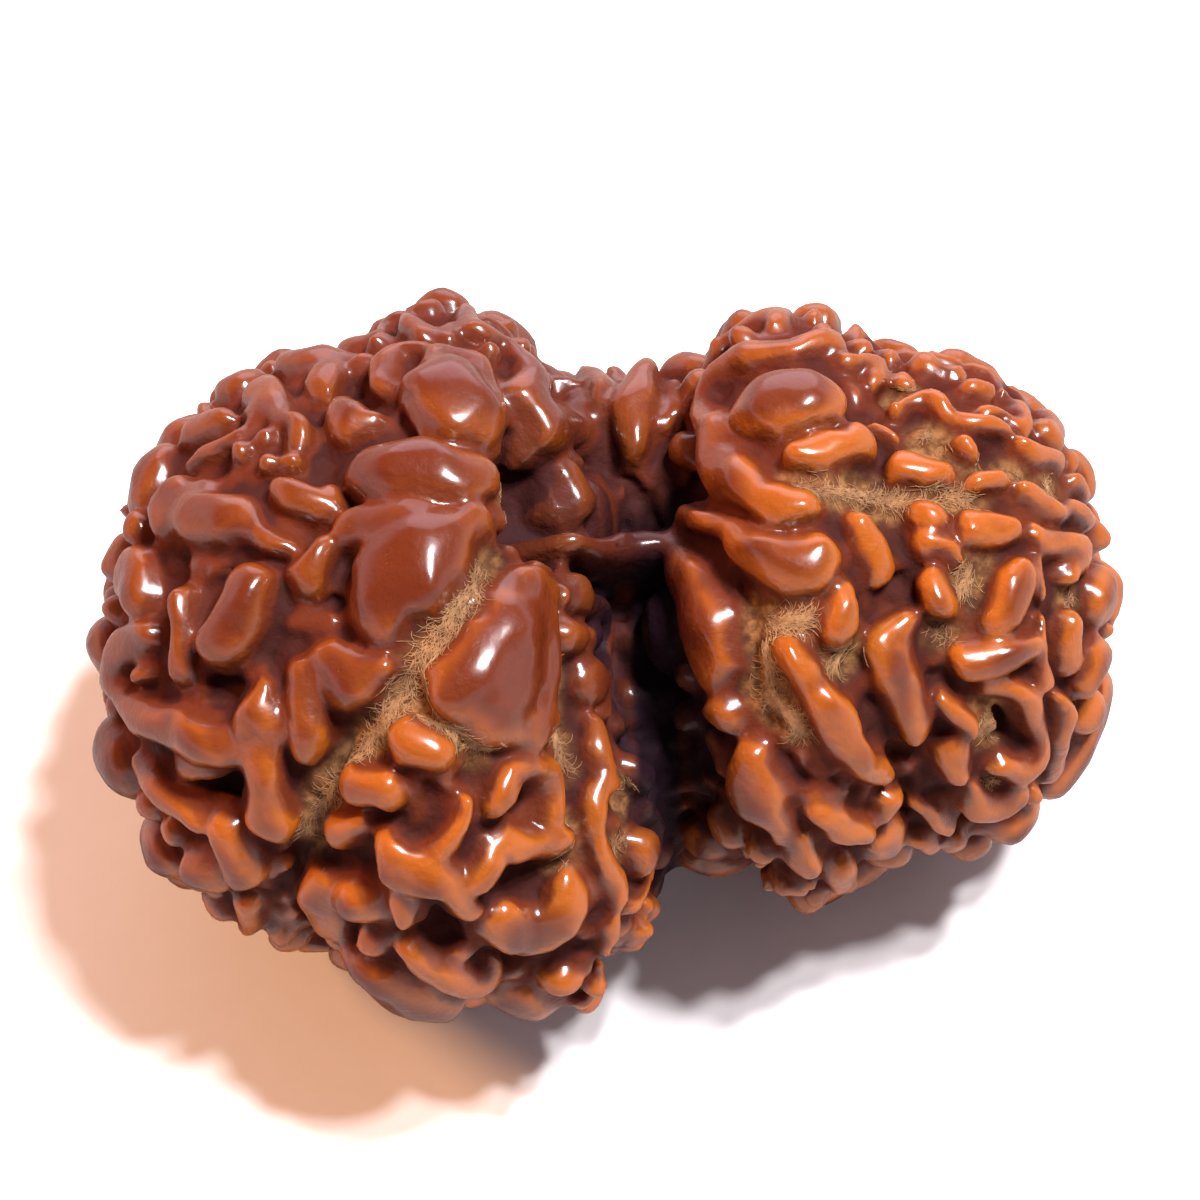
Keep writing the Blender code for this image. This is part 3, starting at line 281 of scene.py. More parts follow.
# Grooves with a mat of husk fibre on their floor, drawn in the same way.
BANDS: tuple[PlanLine, ...] = (
    (
        (-3.6, 1.4, 0.2), (-4.4, 0.4, 0.3), (-5.0, -0.6, 0.45), (-5.8, -1.6, 0.5), (-6.5, -2.8, 0.5),
        (-7.3, -3.8, 0.45), (-8.0, -4.6, 0.35), (-8.7, -5.6, 0.3), (-9.5, -6.9, 0.3), (-10.0, -8.3, 0.3),
    ),
    ((-6.3, -3.4, 0.3), (-5.6, -4.0, 0.25), (-4.6, -4.7, 0.25), (-4.0, -5.1, 0.2)),
    ((-1.1, -1.9, 0.2), (-1.1, -3.0, 0.25), (-1.1, -4.2, 0.25), (-1.0, -5.6, 0.2)),
    (
        (6.5, 4.15, 0.2), (8.0, 3.95, 0.3), (9.3, 3.7, 0.35), (10.2, 3.5, 0.3), (11.4, 3.7, 0.3),
        (12.6, 3.6, 0.35),
    ),
    ((5.2, -0.6, 0.3), (6.2, -0.8, 0.3), (6.9, -0.7, 0.3)),
    ((5.4, -1.2, 0.35), (5.5, -2.4, 0.35), (5.4, -3.4, 0.35), (6.4, -4.0, 0.3), (6.8, -4.6, 0.25)),
    ((8.9, -1.5, 0.2), (8.3, -2.3, 0.25)),
    ((12.9, 1.3, 0.4), (12.5, 0.4, 0.35)),
    ((13.4, -4.0, 0.25), (13.5, -4.8, 0.25)),
)

# Small flocks of husk fibre caught between warts.
FLOCKS: tuple[PlanLine, ...] = (
    ((-1.2, -8.0, 0.25), (-1.2, -9.0, 0.25)),
    ((1.2, -6.5, 0.35),),
    ((1.0, -8.4, 0.3),),
    ((-2.2, 3.1, 0.7), (-2.6, 3.7, 0.7)),
    ((11.4, 5.8, 0.45),),
    ((10.5, 7.4, 0.4),),
    ((13.2, 4.6, 0.45),),
    ((14.6, 4.3, 0.4),),
    ((15.7, 4.1, 0.4),),
    ((16.4, 0.0, 0.35),),
    ((11.6, -1.1, 0.35), (12.0, -1.4, 0.35)),
    ((13.5, -6.4, 0.3),),
)

# Hollows pressed into the core: plan east and north, reach and depth.
HOLLOWS: tuple[tuple[float, float, float, float], ...] = (
    (-1.7, 3.6, 3.3, 3.4),
    (-6.0, 6.3, 0.8, 0.7),
    (-13.2, -6.8, 1.1, 0.9),
    (-13.2, -3.0, 1.0, 0.6),
    (-5.2, -11.5, 1.1, 0.9),
    (-2.7, -7.2, 0.8, 0.8),
    (14.1, -4.5, 0.9, 0.9),
    (13.5, 5.2, 0.7, 0.5),
    (15.5, 0.9, 0.6, 0.5),
    (2.6, 4.0, 1.6, 1.0),
)


class Height(Enum):
    """How much of its full height a wart keeps."""

    FULL = 1.0
    CRAMPED = 0.6
    LOW = 0.55
    SMALL = 0.42
    FOOT = 0.3
    BAND = 0.35


@dataclass(frozen=True)
class Plan:
    """The view that the warts are drawn in, which is also the camera's."""

    middle: Vector = Vector((-0.39, 1.63, 11.54))
    elevation: float = math.radians(60.0)
    distance: float = 160.0
    half_view: float = 600.0 / 29.25
    shift: tuple[float, float] = (0.19, -0.15)

    @property
    def towards_eye(self) -> Vector:
        """The way from the plan's middle to the eye."""
        return Vector((0.0, -math.cos(self.elevation), math.sin(self.elevation)))

    @property
    def eye(self) -> Vector:
        """Where the eye stands, in millimetres before the shift."""
        return self.middle + self.towards_eye * self.distance

    def point(self, east: float, north: float) -> Vector:
        """A plan point's place in space, on the plane through the plan's middle.

        Args:
            east: Millimetres to the right.
            north: Millimetres up the plan.

        Returns:
            The point, in millimetres before the shift.
        """
        right = Vector((1.0, 0.0, 0.0))
        return self.middle + right * east + self.towards_eye.cross(right) * north

    @property
    def placing(self) -> Matrix:
        """The matrix that takes millimetres of the drawing to metres of the frame."""
        return Matrix.Diagonal((MM, MM, MM, 1.0)) @ Matrix.Translation((*self.shift, 0.0))


@dataclass
class Seat:
    """A place on the core: the point, the way up, a half width and how far the core is carved there."""

    point: Vector
    up: Vector
    width: float
    sunk: float

    def blend(self, other: "Seat", share: float) -> "Seat":
        """The seat part of the way to another one.

        Args:
            other: The seat at share 1.
            share: How far along, from 0 to 1.

        Returns:
            The seat in between.
        """
        return Seat(
            self.point.lerp(other.point, share),
            self.up.lerp(other.up, share).normalized(),
            self.width + (other.width - self.width) * share,
            self.sunk + (other.sunk - self.sunk) * share,
        )


    def widened(self, more: float) -> "Seat":
        """The same seat for a wider wart."""
        return Seat(self.point, self.up, self.width + more, self.sunk)


Path = list[Seat]


def taken(body: bpy.types.Object) -> bpy.types.Mesh:
    """A mesh of the body as its modifiers leave it.

    Args:
        body: An object with live modifiers.

    Returns:
        A new mesh.
    """
    graph = bpy.context.evaluated_depsgraph_get()
    return bpy.data.meshes.new_from_object(body.evaluated_get(graph), depsgraph=graph)


def fused(data: bpy.types.Mesh, grain: float, softening: int) -> bpy.types.Mesh:
    """One closed skin round overlapping closed bodies.

    Args:
        data: The bodies, in millimetres.
        grain: The size of the skin's cells.
        softening: How often the skin is smoothed.

    Returns:
        The skin.
    """
    body = bpy.data.objects.new(data.name, data)
    bpy.context.scene.collection.objects.link(body)
    remesh = body.modifiers.new("fuse", "REMESH")
    remesh.mode = "VOXEL"
    remesh.voxel_size = grain
    smooth = body.modifiers.new("soften", "SMOOTH")
    smooth.factor = 0.5
    smooth.iterations = softening
    result = taken(body)
    bpy.data.objects.remove(body)
    return result


def wandering(place: Vector) -> Vector:
    """A smooth wandering vector, the same at the same place each time."""
    return Vector(noise.noise(place + Vector(offset)) for offset in WANDER_OFFSETS)


def spline(points: PlanLine, steps: int) -> list[Vector]:
    """Points along a smooth line through the given ones.

    Args:
        points: Plan points with half widths.
        steps: Steps between two of them.

    Returns:
        The line's points, with the half width as the third number.
    """
    if len(points) == 1:
        return [Vector(points[0])]
    knots = [Vector(p) for p in points]
    knots = [knots[0] * 2 - knots[1], *knots, knots[-1] * 2 - knots[-2]]
    line = []
    for a, b, c, d in zip(knots, knots[1:], knots[2:], knots[3:]):
        for k in range(steps):
            t = k / steps
            cubic = (b * 3 - a - c * 3 + d) * t**3
            line.append(((b * 2) + (c - a) * t + (a * 2 - b * 5 + c * 4 - d) * t**2 + cubic) * 0.5)
    line.append(knots[-2])
    return line


@dataclass
class Core:
    """The stony core under the warts, and the same surface lifted to where the warts' flanks are seen."""

    plan: Plan
    bodies: tuple[tuple[tuple[float, float, float], tuple[float, float, float]], ...] = (
        ((-9.0, 0.1, 10.8), (7.5, 9.6, 9.0)),
        ((-5.8, -0.1, 11.1), (4.9, 11.6, 9.8)),
        ((-1.9, -5.6, 8.7), (2.8, 5.4, 6.0)),
        ((6.3, 2.2, 10.2), (4.4, 9.6, 9.2)),
        ((10.2, 2.3, 9.8), (6.2, 7.8, 8.5)),
        ((0.7, 6.3, 10.2), (4.0, 4.2, 4.9)),
        ((0.9, 0.5, 8.0), (3.8, 6.3, 4.6)),
    )
    fineness: int = 4
    grain: float = 0.5
    softening: int = 6
    lift: float = 0.8
    least_width: float = 0.15
    hidden_facing: float = 0.42
    crest: float = 1.2
    clearance: float = 0.3
    room: float = 3.5
    rays: int = 20
    ray_start: float = 0.6
    sight: float = 9.0
    mesh: bpy.types.Mesh = field(init=False)
    points: list[Vector] = field(init=False)
    ups: list[Vector] = field(init=False)
    faces: list[tuple[int, ...]] = field(init=False)
    depths: list[float] = field(init=False)
    floor: BVHTree = field(init=False)
    skin: BVHTree = field(init=False)

    def __post_init__(self) -> None:
        """Builds the core and the trees that find places on it."""
        rough = bmesh.new()
        for middle, half in self.bodies:
            place = Matrix.Translation(middle) @ Matrix.Diagonal((*half, 1.0))
            bmesh.ops.create_icosphere(rough, subdivisions=self.fineness, radius=1.0, matrix=place)
        data = bpy.data.meshes.new("core bodies")
        rough.to_mesh(data)
        rough.free()
        self.mesh = fused(data, self.grain, self.softening)
        self.points = [v.co.copy() for v in self.mesh.vertices]
        self.ups = [v.normal.copy() for v in self.mesh.vertices]
        self.faces = [tuple(p.vertices) for p in self.mesh.polygons]
        self.depths = [0.0] * len(self.points)
        lifted = [p + u * self.lift for p, u in zip(self.points, self.ups)]
        self.floor = BVHTree.FromPolygons(self.points, self.faces)
        self.skin = BVHTree.FromPolygons(lifted, self.faces)

    def up(self, face: int) -> Vector:
        """The way up over a face, taken as the mean of its corners'."""
        return sum((self.ups[i] for i in self.faces[face]), Vector()).normalized()

    def seat(self, point: Vector, face: int, width: float) -> Seat:
        """The seat at a point of a face.

        Args:
            point: The point.
            face: The face's number.
            width: The half width wanted there.

        Returns:
            The seat.
        """
        return Seat(point, self.up(face), width, max(self.depths[i] for i in self.faces[face]))

    def seen(self, east: float, north: float, width: float) -> Seat:
        """The seat under a plan point.

        Args:
            east: Millimetres to the right on the plan.
            north: Millimetres up the plan.
            width: The half width wanted there.

        Returns:
            The seat.
        """
        target = self.plan.point(east, north)
        eye = self.plan.eye
        hit, _, face, _ = self.skin.ray_cast(eye, (target - eye).normalized())
        if hit is None:
            hit, _, face, _ = self.skin.find_nearest(target)
        return self.seat(hit - self.up(face) * self.lift, face, width)

    def near(self, point: Vector, width: float) -> Seat:
        """The seat nearest to a point in space."""
        hit, _, face, _ = self.floor.find_nearest(point)
        return self.seat(hit, face, width)

    def hidden(self, seat: Seat) -> bool:
        """Whether the eye can't see a wart at this seat."""
        crest = seat.point + seat.up * self.crest
        towards = (self.plan.eye - crest).normalized()
        if seat.up.dot(towards) < self.hidden_facing:
            return True
        return self.floor.ray_cast(crest, towards)[0] is not None

    def cramped(self, seat: Seat) -> bool:
        """Whether another flank of the core stands close in front of this seat."""
        start = seat.point + seat.up * self.clearance
        return self.floor.ray_cast(start, seat.up, self.room)[0] is not None

    def path(self, line: PlanLine, steps: int = 4) -> Path:
        """The seats of a line drawn on the plan.

        Args:
            line: The plan points with half widths.
            steps: Seats between two of them.

        Returns:
            The seats in order.
        """
        return [self.seen(p.x, p.y, max(p.z, self.least_width)) for p in spline(line, steps)]

    def carve(self, spots: list[tuple[Vector, float, float]]) -> None:
        """Presses round hollows into the core's mesh.

        Args:
            spots: Each hollow's middle, reach and depth.
        """
        sunk: dict[int, float] = {}
        for middle, reach, depth in spots:
            for i, p in enumerate(self.points):
                away = (p - middle).length
                if away < reach:
                    sunk[i] = max(sunk.get(i, 0.0), depth * (1.0 - (away / reach) ** 2) ** 2)
        for i, depth in sunk.items():
            self.mesh.vertices[i].co -= self.ups[i] * depth
            self.depths[i] = depth

    def openness(self) -> list[float]:
        """How much of the sky each of the carved core's points sees, from 0 to 1."""
        carved = [v.co.copy() for v in self.mesh.vertices]
        tree = BVHTree.FromPolygons(carved, self.faces)
        ways = []
        for k in range(self.rays):
            rise = math.sqrt((k + 0.5) / self.rays)
            turn = k * math.pi * (3.0 - math.sqrt(5.0))
            flat = math.sqrt(1.0 - rise * rise)
            ways.append(Vector((math.cos(turn) * flat, math.sin(turn) * flat, rise)))
        views = []
        for place, up in zip(carved, self.ups):
            facing = up.to_track_quat("Z", "Y")
            start = place + up * self.ray_start
            free = sum(tree.ray_cast(start, facing @ way, self.sight)[0] is None for way in ways)
            views.append(free / self.rays)
        return views


@dataclass
class Meridian:
    """A groove that runs over a lobe from a plan point down to the lobe's foot."""

    middle: tuple[float, float, float]
    foot: tuple[float, float, float]
    start: tuple[float, float]
    steps: int = 60
    width: float = 0.3
    outside: float = 40.0

    def line(self, core: Core) -> list[Vector]:
        """Points of the groove on the core.

        Args:
            core: The core that it runs over.

        Returns:
            The points, from the start to the foot.
        """
        middle = Vector(self.middle)
        first = (core.seen(*self.start, self.width).point - middle).normalized()
        last = (Vector(self.foot) - middle).normalized()
        line = []
        for k in range(self.steps + 1):
            way = first.slerp(last, k / self.steps)
            hit = core.floor.ray_cast(middle + way * self.outside, -way)[0]
            if hit is not None:
                line.append(hit)
        return line


LOBE_FEET = (
    (
        (-6.6, 0.0, 10.9),
        (-5.5, 0.8, 0.5),
        ((-10.3, -9.2), (-0.7, -9.2), (-16.9, -0.4), (-9.2, 8.9), (-0.9, 8.7)),
    ),
    (
        (7.9, 2.5, 10.1),
        (7.0, 2.6, 0.8),
        ((5.4, -8.9), (12.6, -7.6), (17.1, 2.2), (10.0, 9.5), (2.4, 8.4)),
    ),
)
MERIDIANS = tuple(Meridian(middle, foot, start) for middle, foot, starts in LOBE_FEET for start in starts)


@dataclass
class Lump:
    """The section of a wart: a full round crest over a root that is sunk in the core."""

    rise_least: float = 0.5
    rise_more: float = 1.25
    rise_width: float = 0.7
    belly: float = 0.35
    fullness: float = 0.9
    slimness: float = 1.12
    spacing: float = 0.25
    knurl: float = 0.3
    knurl_size: float = 1.4
    pucker: float = 0.07
    pucker_size: float = 0.55

    def rise(self, width: float) -> float:
        """How far a wart of this half width stands over the core."""
        return self.rise_least + self.rise_more * (1.0 - math.exp(-width / self.rise_width))

    def full(self, value: float) -> float:
        """A sine or cosine pushed outwards, for a fuller section than an ellipse."""
        return math.copysign(abs(value) ** self.fullness, value)

    def build(
        self, path: Path, share: float, root: float = 0.5, rounds: tuple[int, int] = (16, 4)
    ) -> bmesh.types.BMesh:
        """A closed lump that runs along the path, with round ends.

        Args:
            path: The seats that it runs over.
            share: The share of the full rise that it keeps.
            root: How deep its root goes.
            rounds: Points round its section, and rings in each round end.

        Returns:
            A ball of rings, drawn out along the path.
        """
        sides, cap = rounds
        lengths = [0.0]
        for a, b in zip(path, path[1:]):
            lengths.append(lengths[-1] + (b.point - a.point).length)
        spans = 0 if len(path) == 1 else max(1, round(lengths[-1] / self.spacing))
        rings = 2 * cap + spans
        lump = bmesh.new()
        bmesh.ops.create_uvsphere(lump, u_segments=sides, v_segments=rings, radius=1.0)
        for vert in lump.verts:
            spot = vert.co
            ring = round(math.acos(max(-1.0, min(1.0, spot.z))) / math.pi * rings)
            around = math.atan2(spot.y, spot.x)
            if ring <= cap:
                turn = ring / cap * math.pi / 2
                reach, size, along = -math.cos(turn), math.sin(turn), 0.0
            elif ring >= rings - cap:
                turn = (rings - ring) / cap * math.pi / 2
                reach, size, along = math.cos(turn), math.sin(turn), lengths[-1]
            else:
                reach, size, along = 0.0, 1.0, (ring - cap) / spans * lengths[-1]
            seat, forward = self.on_path(path, lengths, along)
            across = seat.up.cross(forward)
            wide = seat.width * self.slimness
            high = self.rise(seat.width) * share
            belly = self.belly * high
            side, height = self.full(math.cos(around)), self.full(math.sin(around))
            tall = high - belly if height > 0 else belly + root + seat.sunk
            sideways = forward * (reach * wide) + across * (side * size * wide)
            place = seat.point + sideways + seat.up * (belly + height * size * tall)
            broad = wandering(place / self.knurl_size) * self.knurl
            vert.co = place + broad + wandering(place / self.pucker_size) * self.pucker
        return lump

    @staticmethod
    def on_path(path: Path, lengths: list[float], along: float) -> tuple[Seat, Vector]:
        """The seat and the way forward at a length along the path.

        Args:
            path: The seats.
            lengths: The length at each of them.
            along: The length wanted.

        Returns:
            The seat there, and the path's direction along the surface.
        """
        if len(path) == 1:
            return path[0], path[0].up.orthogonal().normalized()
        k = 0
        while k < len(path) - 2 and lengths[k + 1] <= along:
            k += 1
        a, b = path[k], path[k + 1]
        t = (along - lengths[k]) / max(lengths[k + 1] - lengths[k], 1e-6)
        seat = a.blend(b, t)
        before, after = path[max(k - 1, 0)], path[min(k + 2, len(path) - 1)]
        forward = after.point - before.point
        return seat, (forward - seat.up * forward.dot(seat.up)).normalized()


class Pile:
    """Closed bodies gathered into one mesh."""

    def __init__(self) -> None:
        """Starts with nothing."""
        self.gathered = bmesh.new()
        self.one = bpy.data.meshes.new("one lump")

    def add(self, lump: bmesh.types.BMesh) -> None:
        """Adds a body, and frees it."""
        lump.to_mesh(self.one)
        lump.free()
        self.gathered.from_mesh(self.one)

    def add_mesh(self, data: bpy.types.Mesh) -> None:
        """Adds a mesh as it is."""
        self.gathered.from_mesh(data)

    def mesh(self, name: str) -> bpy.types.Mesh:
        """The gathered bodies as one mesh, which ends the pile."""
        data = bpy.data.meshes.new(name)
        self.gathered.to_mesh(data)
        self.gathered.free()
        bpy.data.meshes.remove(self.one)
        return data


@dataclass
class HiddenWarts:
    """The warts of the side away from the eye: drawn at random, clear of each other and of the grooves."""

    seed: int = 108
    gap: float = 0.04
    meridian_room: float = 0.45
    hollow_room: float = 0.6
    lean: float = 0.6
    bend: float = 0.3
    stride: float = 0.9
    steepness: float = 0.2
    classes: tuple[tuple[float, int, int], ...] = (
        (1.3, 2, 1000),
        (1.0, 4, 3000),
        (0.78, 5, 5000),
        (0.6, 5, 6000),
        (0.46, 3, 7000),
    )
    fillers: tuple[tuple[float, int, int], ...] = ((0.42, 3, 5000), (0.3, 2, 9000))
    nestle: float = 0.08
    places: np.ndarray = field(init=False)
    widths: np.ndarray = field(init=False)

    def paths(self, core: Core, taken_up: list[Path], grooves: list[list[Vector]]) -> list[Path]:
        """Draws the warts, broad ones first.

        Args:
            core: The core that they grow on.
            taken_up: The warts and mats that are there already.
            grooves: The grooves that stay free.

        Returns:
            The paths of the new warts.
        """
        draw = random.Random(self.seed)
        places = [s.point[:] for path in taken_up for s in path]
        widths = [s.width for path in taken_up for s in path]
        for line in grooves:
            places += [p[:] for p in line]
            widths += [self.meridian_room - self.gap] * len(line)
        for east, north, reach, _ in HOLLOWS:
            places.append(core.seen(east, north, 0.0).point[:])
            widths.append(reach * self.hollow_room)
        self.places = np.array(places)
        self.widths = np.array(widths)
        return self.drawn(core, draw, self.classes, seen=False)

    def small(self, core: Core) -> list[Path]:
        """Draws the small low warts that fill what the others leave, also on the side that is seen.

        Args:
            core: The core that they grow on.

        Returns:
            Their paths.
        """
        self.widths = self.widths - self.nestle
        return self.drawn(core, random.Random(self.seed + 1), self.fillers, seen=True)

    def drawn(
        self, core: Core, draw: random.Random, classes: tuple[tuple[float, int, int], ...], seen: bool
    ) -> list[Path]:
        """Draws warts class by class.

        Args:
            core: The core that they grow on.
            draw: The seeded draw.
            classes: Each class's half width, most steps and number of tries.
            seen: Whether they may stand where the eye sees them.

        Returns:
            Their paths.
        """
        found = []
        for size, most, tries in classes:
            for _ in range(tries):
                path = self.one(core, draw, size, most, seen)
                if path:
                    found.append(path)
                    self.places = np.vstack([self.places, np.array([s.point[:] for s in path])])
                    self.widths = np.append(self.widths, [s.width for s in path])
        return found

    def clear(self, seat: Seat) -> bool:
        """Whether a wart at this seat keeps clear of all that is there."""
        away = np.linalg.norm(self.places - np.array(seat.point[:]), axis=1)
        return bool(np.all(away > self.widths + seat.width + self.gap))

    def one(self, core: Core, draw: random.Random, size: float, most: int, seen: bool) -> Path:
        """Tries to place one wart.

        Args:
            core: The core.
            draw: The seeded draw.
            size: The half width of this size class.
            most: The most steps in its line.
            seen: Whether it may stand where the eye sees it.

        Returns:
            Its path, or an empty one where it doesn't fit.
        """
        face = draw.randrange(len(core.faces))
        width = size * draw.uniform(0.85, 1.1)
        seat = core.seat(core.points[core.faces[face][0]], face, width)
        steps = draw.randint(1, most)
        lean = draw.gauss(0.0, self.lean)
        bend = draw.gauss(0.0, self.bend)
        if not (seen or core.hidden(seat)) or not self.clear(seat):
            return []
        fall = Vector((0.0, 0.0, -1.0)) + seat.up * seat.up.z
        fall = seat.up.orthogonal() if fall.length < self.steepness else fall
        way = Matrix.Rotation(lean, 3, seat.up) @ fall.normalized()
        path = [seat]
        for _ in range(steps):
            way = Matrix.Rotation(bend, 3, path[-1].up) @ way
            ahead = path[-1].point + way * width * self.stride
            step = core.near(ahead, width * draw.uniform(0.85, 1.15))
            if not (seen or core.hidden(step)) or not self.clear(step):
                break
            way = (way - step.up * way.dot(step.up)).normalized()
            path.append(step)
        return path


@dataclass
class Stone:
    """The warty stone of both lobes, as one closed skin."""

    plan: Plan
    fuse_grain: float = 0.14
    fuse_softening: int = 10
    foot_reach: float = 0.25
    triangles: int = 188_000
    groove_reach: float = 0.8
    groove_depth: float = 0.45
    bridge_root: float = 5.0
    bridge_sag: float = 0.8
    bridge_steps: int = 5
    below: float = -4.0
    coarse: tuple[int, int] = (12, 3)
    broad: tuple[int, int] = (24, 6)
    edge_rounds: int = 12
    crest_rounds: int = 60
    fibre_fade: float = 0.6
    band_reach: float = 0.55
    flock_reach: float = 0.5
    rests: tuple[tuple[float, float, float, float], ...] = ((-7.0, 0.3, 2.4, 1.3), (7.9, 2.4, 2.4, 0.85))
    core: Core = field(init=False)
    bands: list[Path] = field(init=False)
    flocks: list[Path] = field(init=False)

    def bridge(self, start: PlanPoint, end: PlanPoint) -> Path:
        """Seats on a sagging arm between two plan points, free of the core on the way.

        Args:
            start: Its plan point on one lobe, with a half width.
            end: Its plan point on the other lobe.

        Returns:
            The seats.
        """
        a, b = self.core.seen(*start), self.core.seen(*end)
        shares = [k / self.bridge_steps for k in range(self.bridge_steps + 1)]
        path = [a.blend(b, share) for share in shares]
        for share, seat in zip(shares, path):
            seat.point -= seat.up * self.bridge_sag * math.sin(share * math.pi)
        return path

    def carved(self) -> list[list[Vector]]:
        """Makes the core, presses its hollows and grooves in, and gives the grooves' lines."""
        self.core = Core(self.plan)
        grooves = [meridian.line(self.core) for meridian in MERIDIANS]
        spots = [(self.core.seen(e, n, 0.0).point, reach, depth) for e, n, reach, depth in HOLLOWS]
        spots += [(p, self.groove_reach, self.groove_depth) for line in grooves for p in line[::2]]
        self.core.carve(spots)
        return grooves

    def rough(self) -> bpy.types.Mesh:
        """Core, warts and fibre mats fused to one skin, in millimetres."""
        grooves = self.carved()
        core = self.core
        tall = [core.path(line) for line in WARTS]
        low = [core.path(line) for line in LOW_WARTS]
        bridges = [self.bridge(*line) for line in BRIDGES]
        self.bands = [core.path(line) for line in BANDS]
        self.flocks = [core.path(line) for line in FLOCKS]
        rests = [[core.near(Vector((x, y, self.below)), width)] for x, y, width, _ in self.rests]
        rule = HiddenWarts()
        hidden = rule.paths(core, tall + low + self.bands + rests + bridges, grooves)
        small = rule.small(core)
        feet = [[s.widened(self.foot_reach) for s in path] for path in tall + hidden]
        heights = [Height.CRAMPED if core.cramped(path[0]) else Height.FULL for path in hidden]

        lump = Lump()
        pile = Pile()
        pile.add_mesh(core.mesh)
        for path in tall:
            pile.add(lump.build(path, Height.FULL.value))
        for path, (_, _, _, share) in zip(rests, self.rests):
            pile.add(lump.build(path, share, rounds=self.broad))
        for path, height in zip(hidden, heights):
            pile.add(lump.build(path, height.value))
        for path in bridges:
            pile.add(lump.build(path, Height.FULL.value, root=self.bridge_root))
        for path in low:
            pile.add(lump.build(path, Height.LOW.value))
        for path in small:
            pile.add(lump.build(path, Height.SMALL.value, rounds=self.coarse))
        for path in feet:
            pile.add(lump.build(path, Height.FOOT.value, rounds=self.coarse))
        for path in self.bands:
            pile.add(lump.build(path, Height.BAND.value))
        LOG.info("warts: %d traced, %d by the rule", len(tall) + len(low), len(hidden) + len(small))
        return fused(pile.mesh("rough stone"), self.fuse_grain, self.fuse_softening)

    def thinned(self, rough: bpy.types.Mesh) -> bpy.types.Mesh:
        """The skin with fewer triangles and without loose bits.

        Args:
            rough: The fused skin.

        Returns:
            The thinned skin.
        """
        skin = bmesh.new()
        skin.from_mesh(rough)
        drop_scraps(skin)
        bmesh.ops.triangulate(skin, faces=skin.faces)
        share = self.triangles / len(skin.faces)
        skin.to_mesh(rough)
        skin.free()
        body = bpy.data.objects.new("rough stone", rough)
        bpy.context.scene.collection.objects.link(body)
        thin = body.modifiers.new("thin", "DECIMATE")
        thin.ratio = min(1.0, share)
        result = taken(body)
        bpy.data.objects.remove(body)
        return result

    def build(self) -> bpy.types.Object:
        """The stone, cut flat where it rests, painted with its measures and placed in the frame.

        Returns:
            The finished object, without a material.
        """
        skin = bmesh.new()
        skin.from_mesh(self.thinned(self.rough()))
        geometry = [*skin.verts, *skin.edges, *skin.faces]
        bmesh.ops.bisect_plane(
            skin, geom=geometry, dist=1e-5, plane_co=(0, 0, 0), plane_no=(0, 0, -1), clear_outer=True
        )
        rim = [edge for edge in skin.edges if edge.is_boundary]
        bmesh.ops.holes_fill(skin, edges=rim)
        drop_scraps(skin)
        bmesh.ops.triangulate(skin, faces=skin.faces)
        data = bpy.data.meshes.new("rudraksha_stone")
        skin.to_mesh(data)
        skin.free()
        self.measure(data)
        data.transform(self.plan.placing)
        data.shade_smooth()
        stone = bpy.data.objects.new("rudraksha_stone", data)
        bpy.context.scene.collection.objects.link(stone)
        return stone

    def measure(self, data: bpy.types.Mesh) -> None:
        """Writes to the mesh how high, how proud and how near to fibre each point is.

        Args:
            data: The skin, in millimetres.
        """
        count = len(data.vertices)
        places = np.empty(count * 3, np.float32)
        data.vertices.foreach_get("co", places)
        places = places.reshape(-1, 3)
        normals = np.array([v.vector[:] for v in data.vertex_normals], np.float32)
        relief, openness = self.standing(places)
        measures = {
            "relief": relief,
            "edge": proudness(data, places, normals, self.edge_rounds),
            "crest": proudness(data, places, normals, self.crest_rounds),
            "fibre": self.fibre_share(places),
            "open": openness,
        }
        for name, values in measures.items():
            attribute = data.attributes.new(name, "FLOAT", "POINT")
            attribute.data.foreach_set("value", values.astype(np.float32))

    def standing(self, places: np.ndarray) -> tuple[np.ndarray, np.ndarray]:
        """How high points stand over the core, and how open the core is under them.

        Args:
            places: The points.

        Returns:
            The heights in millimetres, and shares of open sky.
        """
        relief = np.empty(len(places), np.float32)
        openness = np.empty(len(places), np.float32)
        views = self.core.openness()
        for i, place in enumerate(places):
            spot = Vector(place.tolist())
            hit, normal, face, away = self.core.floor.find_nearest(spot)
            relief[i] = math.copysign(away, (spot - hit).dot(normal))
            corner_views = [views[k] for k in self.core.faces[face]]
            openness[i] = sum(corner_views) / len(corner_views)
        return relief, openness

    def fibre_share(self, places: np.ndarray) -> np.ndarray:
        """How near points are to fibre, from 0 to 1.

        Args:
            places: The points.

        Returns:
            A share for each point.
        """
        share = np.zeros(len(places), np.float32)
        for paths, reach in ((self.bands, self.band_reach), (self.flocks, self.flock_reach)):
            for seat in (seat for path in paths for seat in path):
                away = np.linalg.norm(places - np.array(seat.point[:], np.float32), axis=1)
                near = 1.0 - np.clip((away - seat.width) / (reach + self.fibre_fade), 0.0, 1.0)
                share = np.maximum(share, near)
        return share


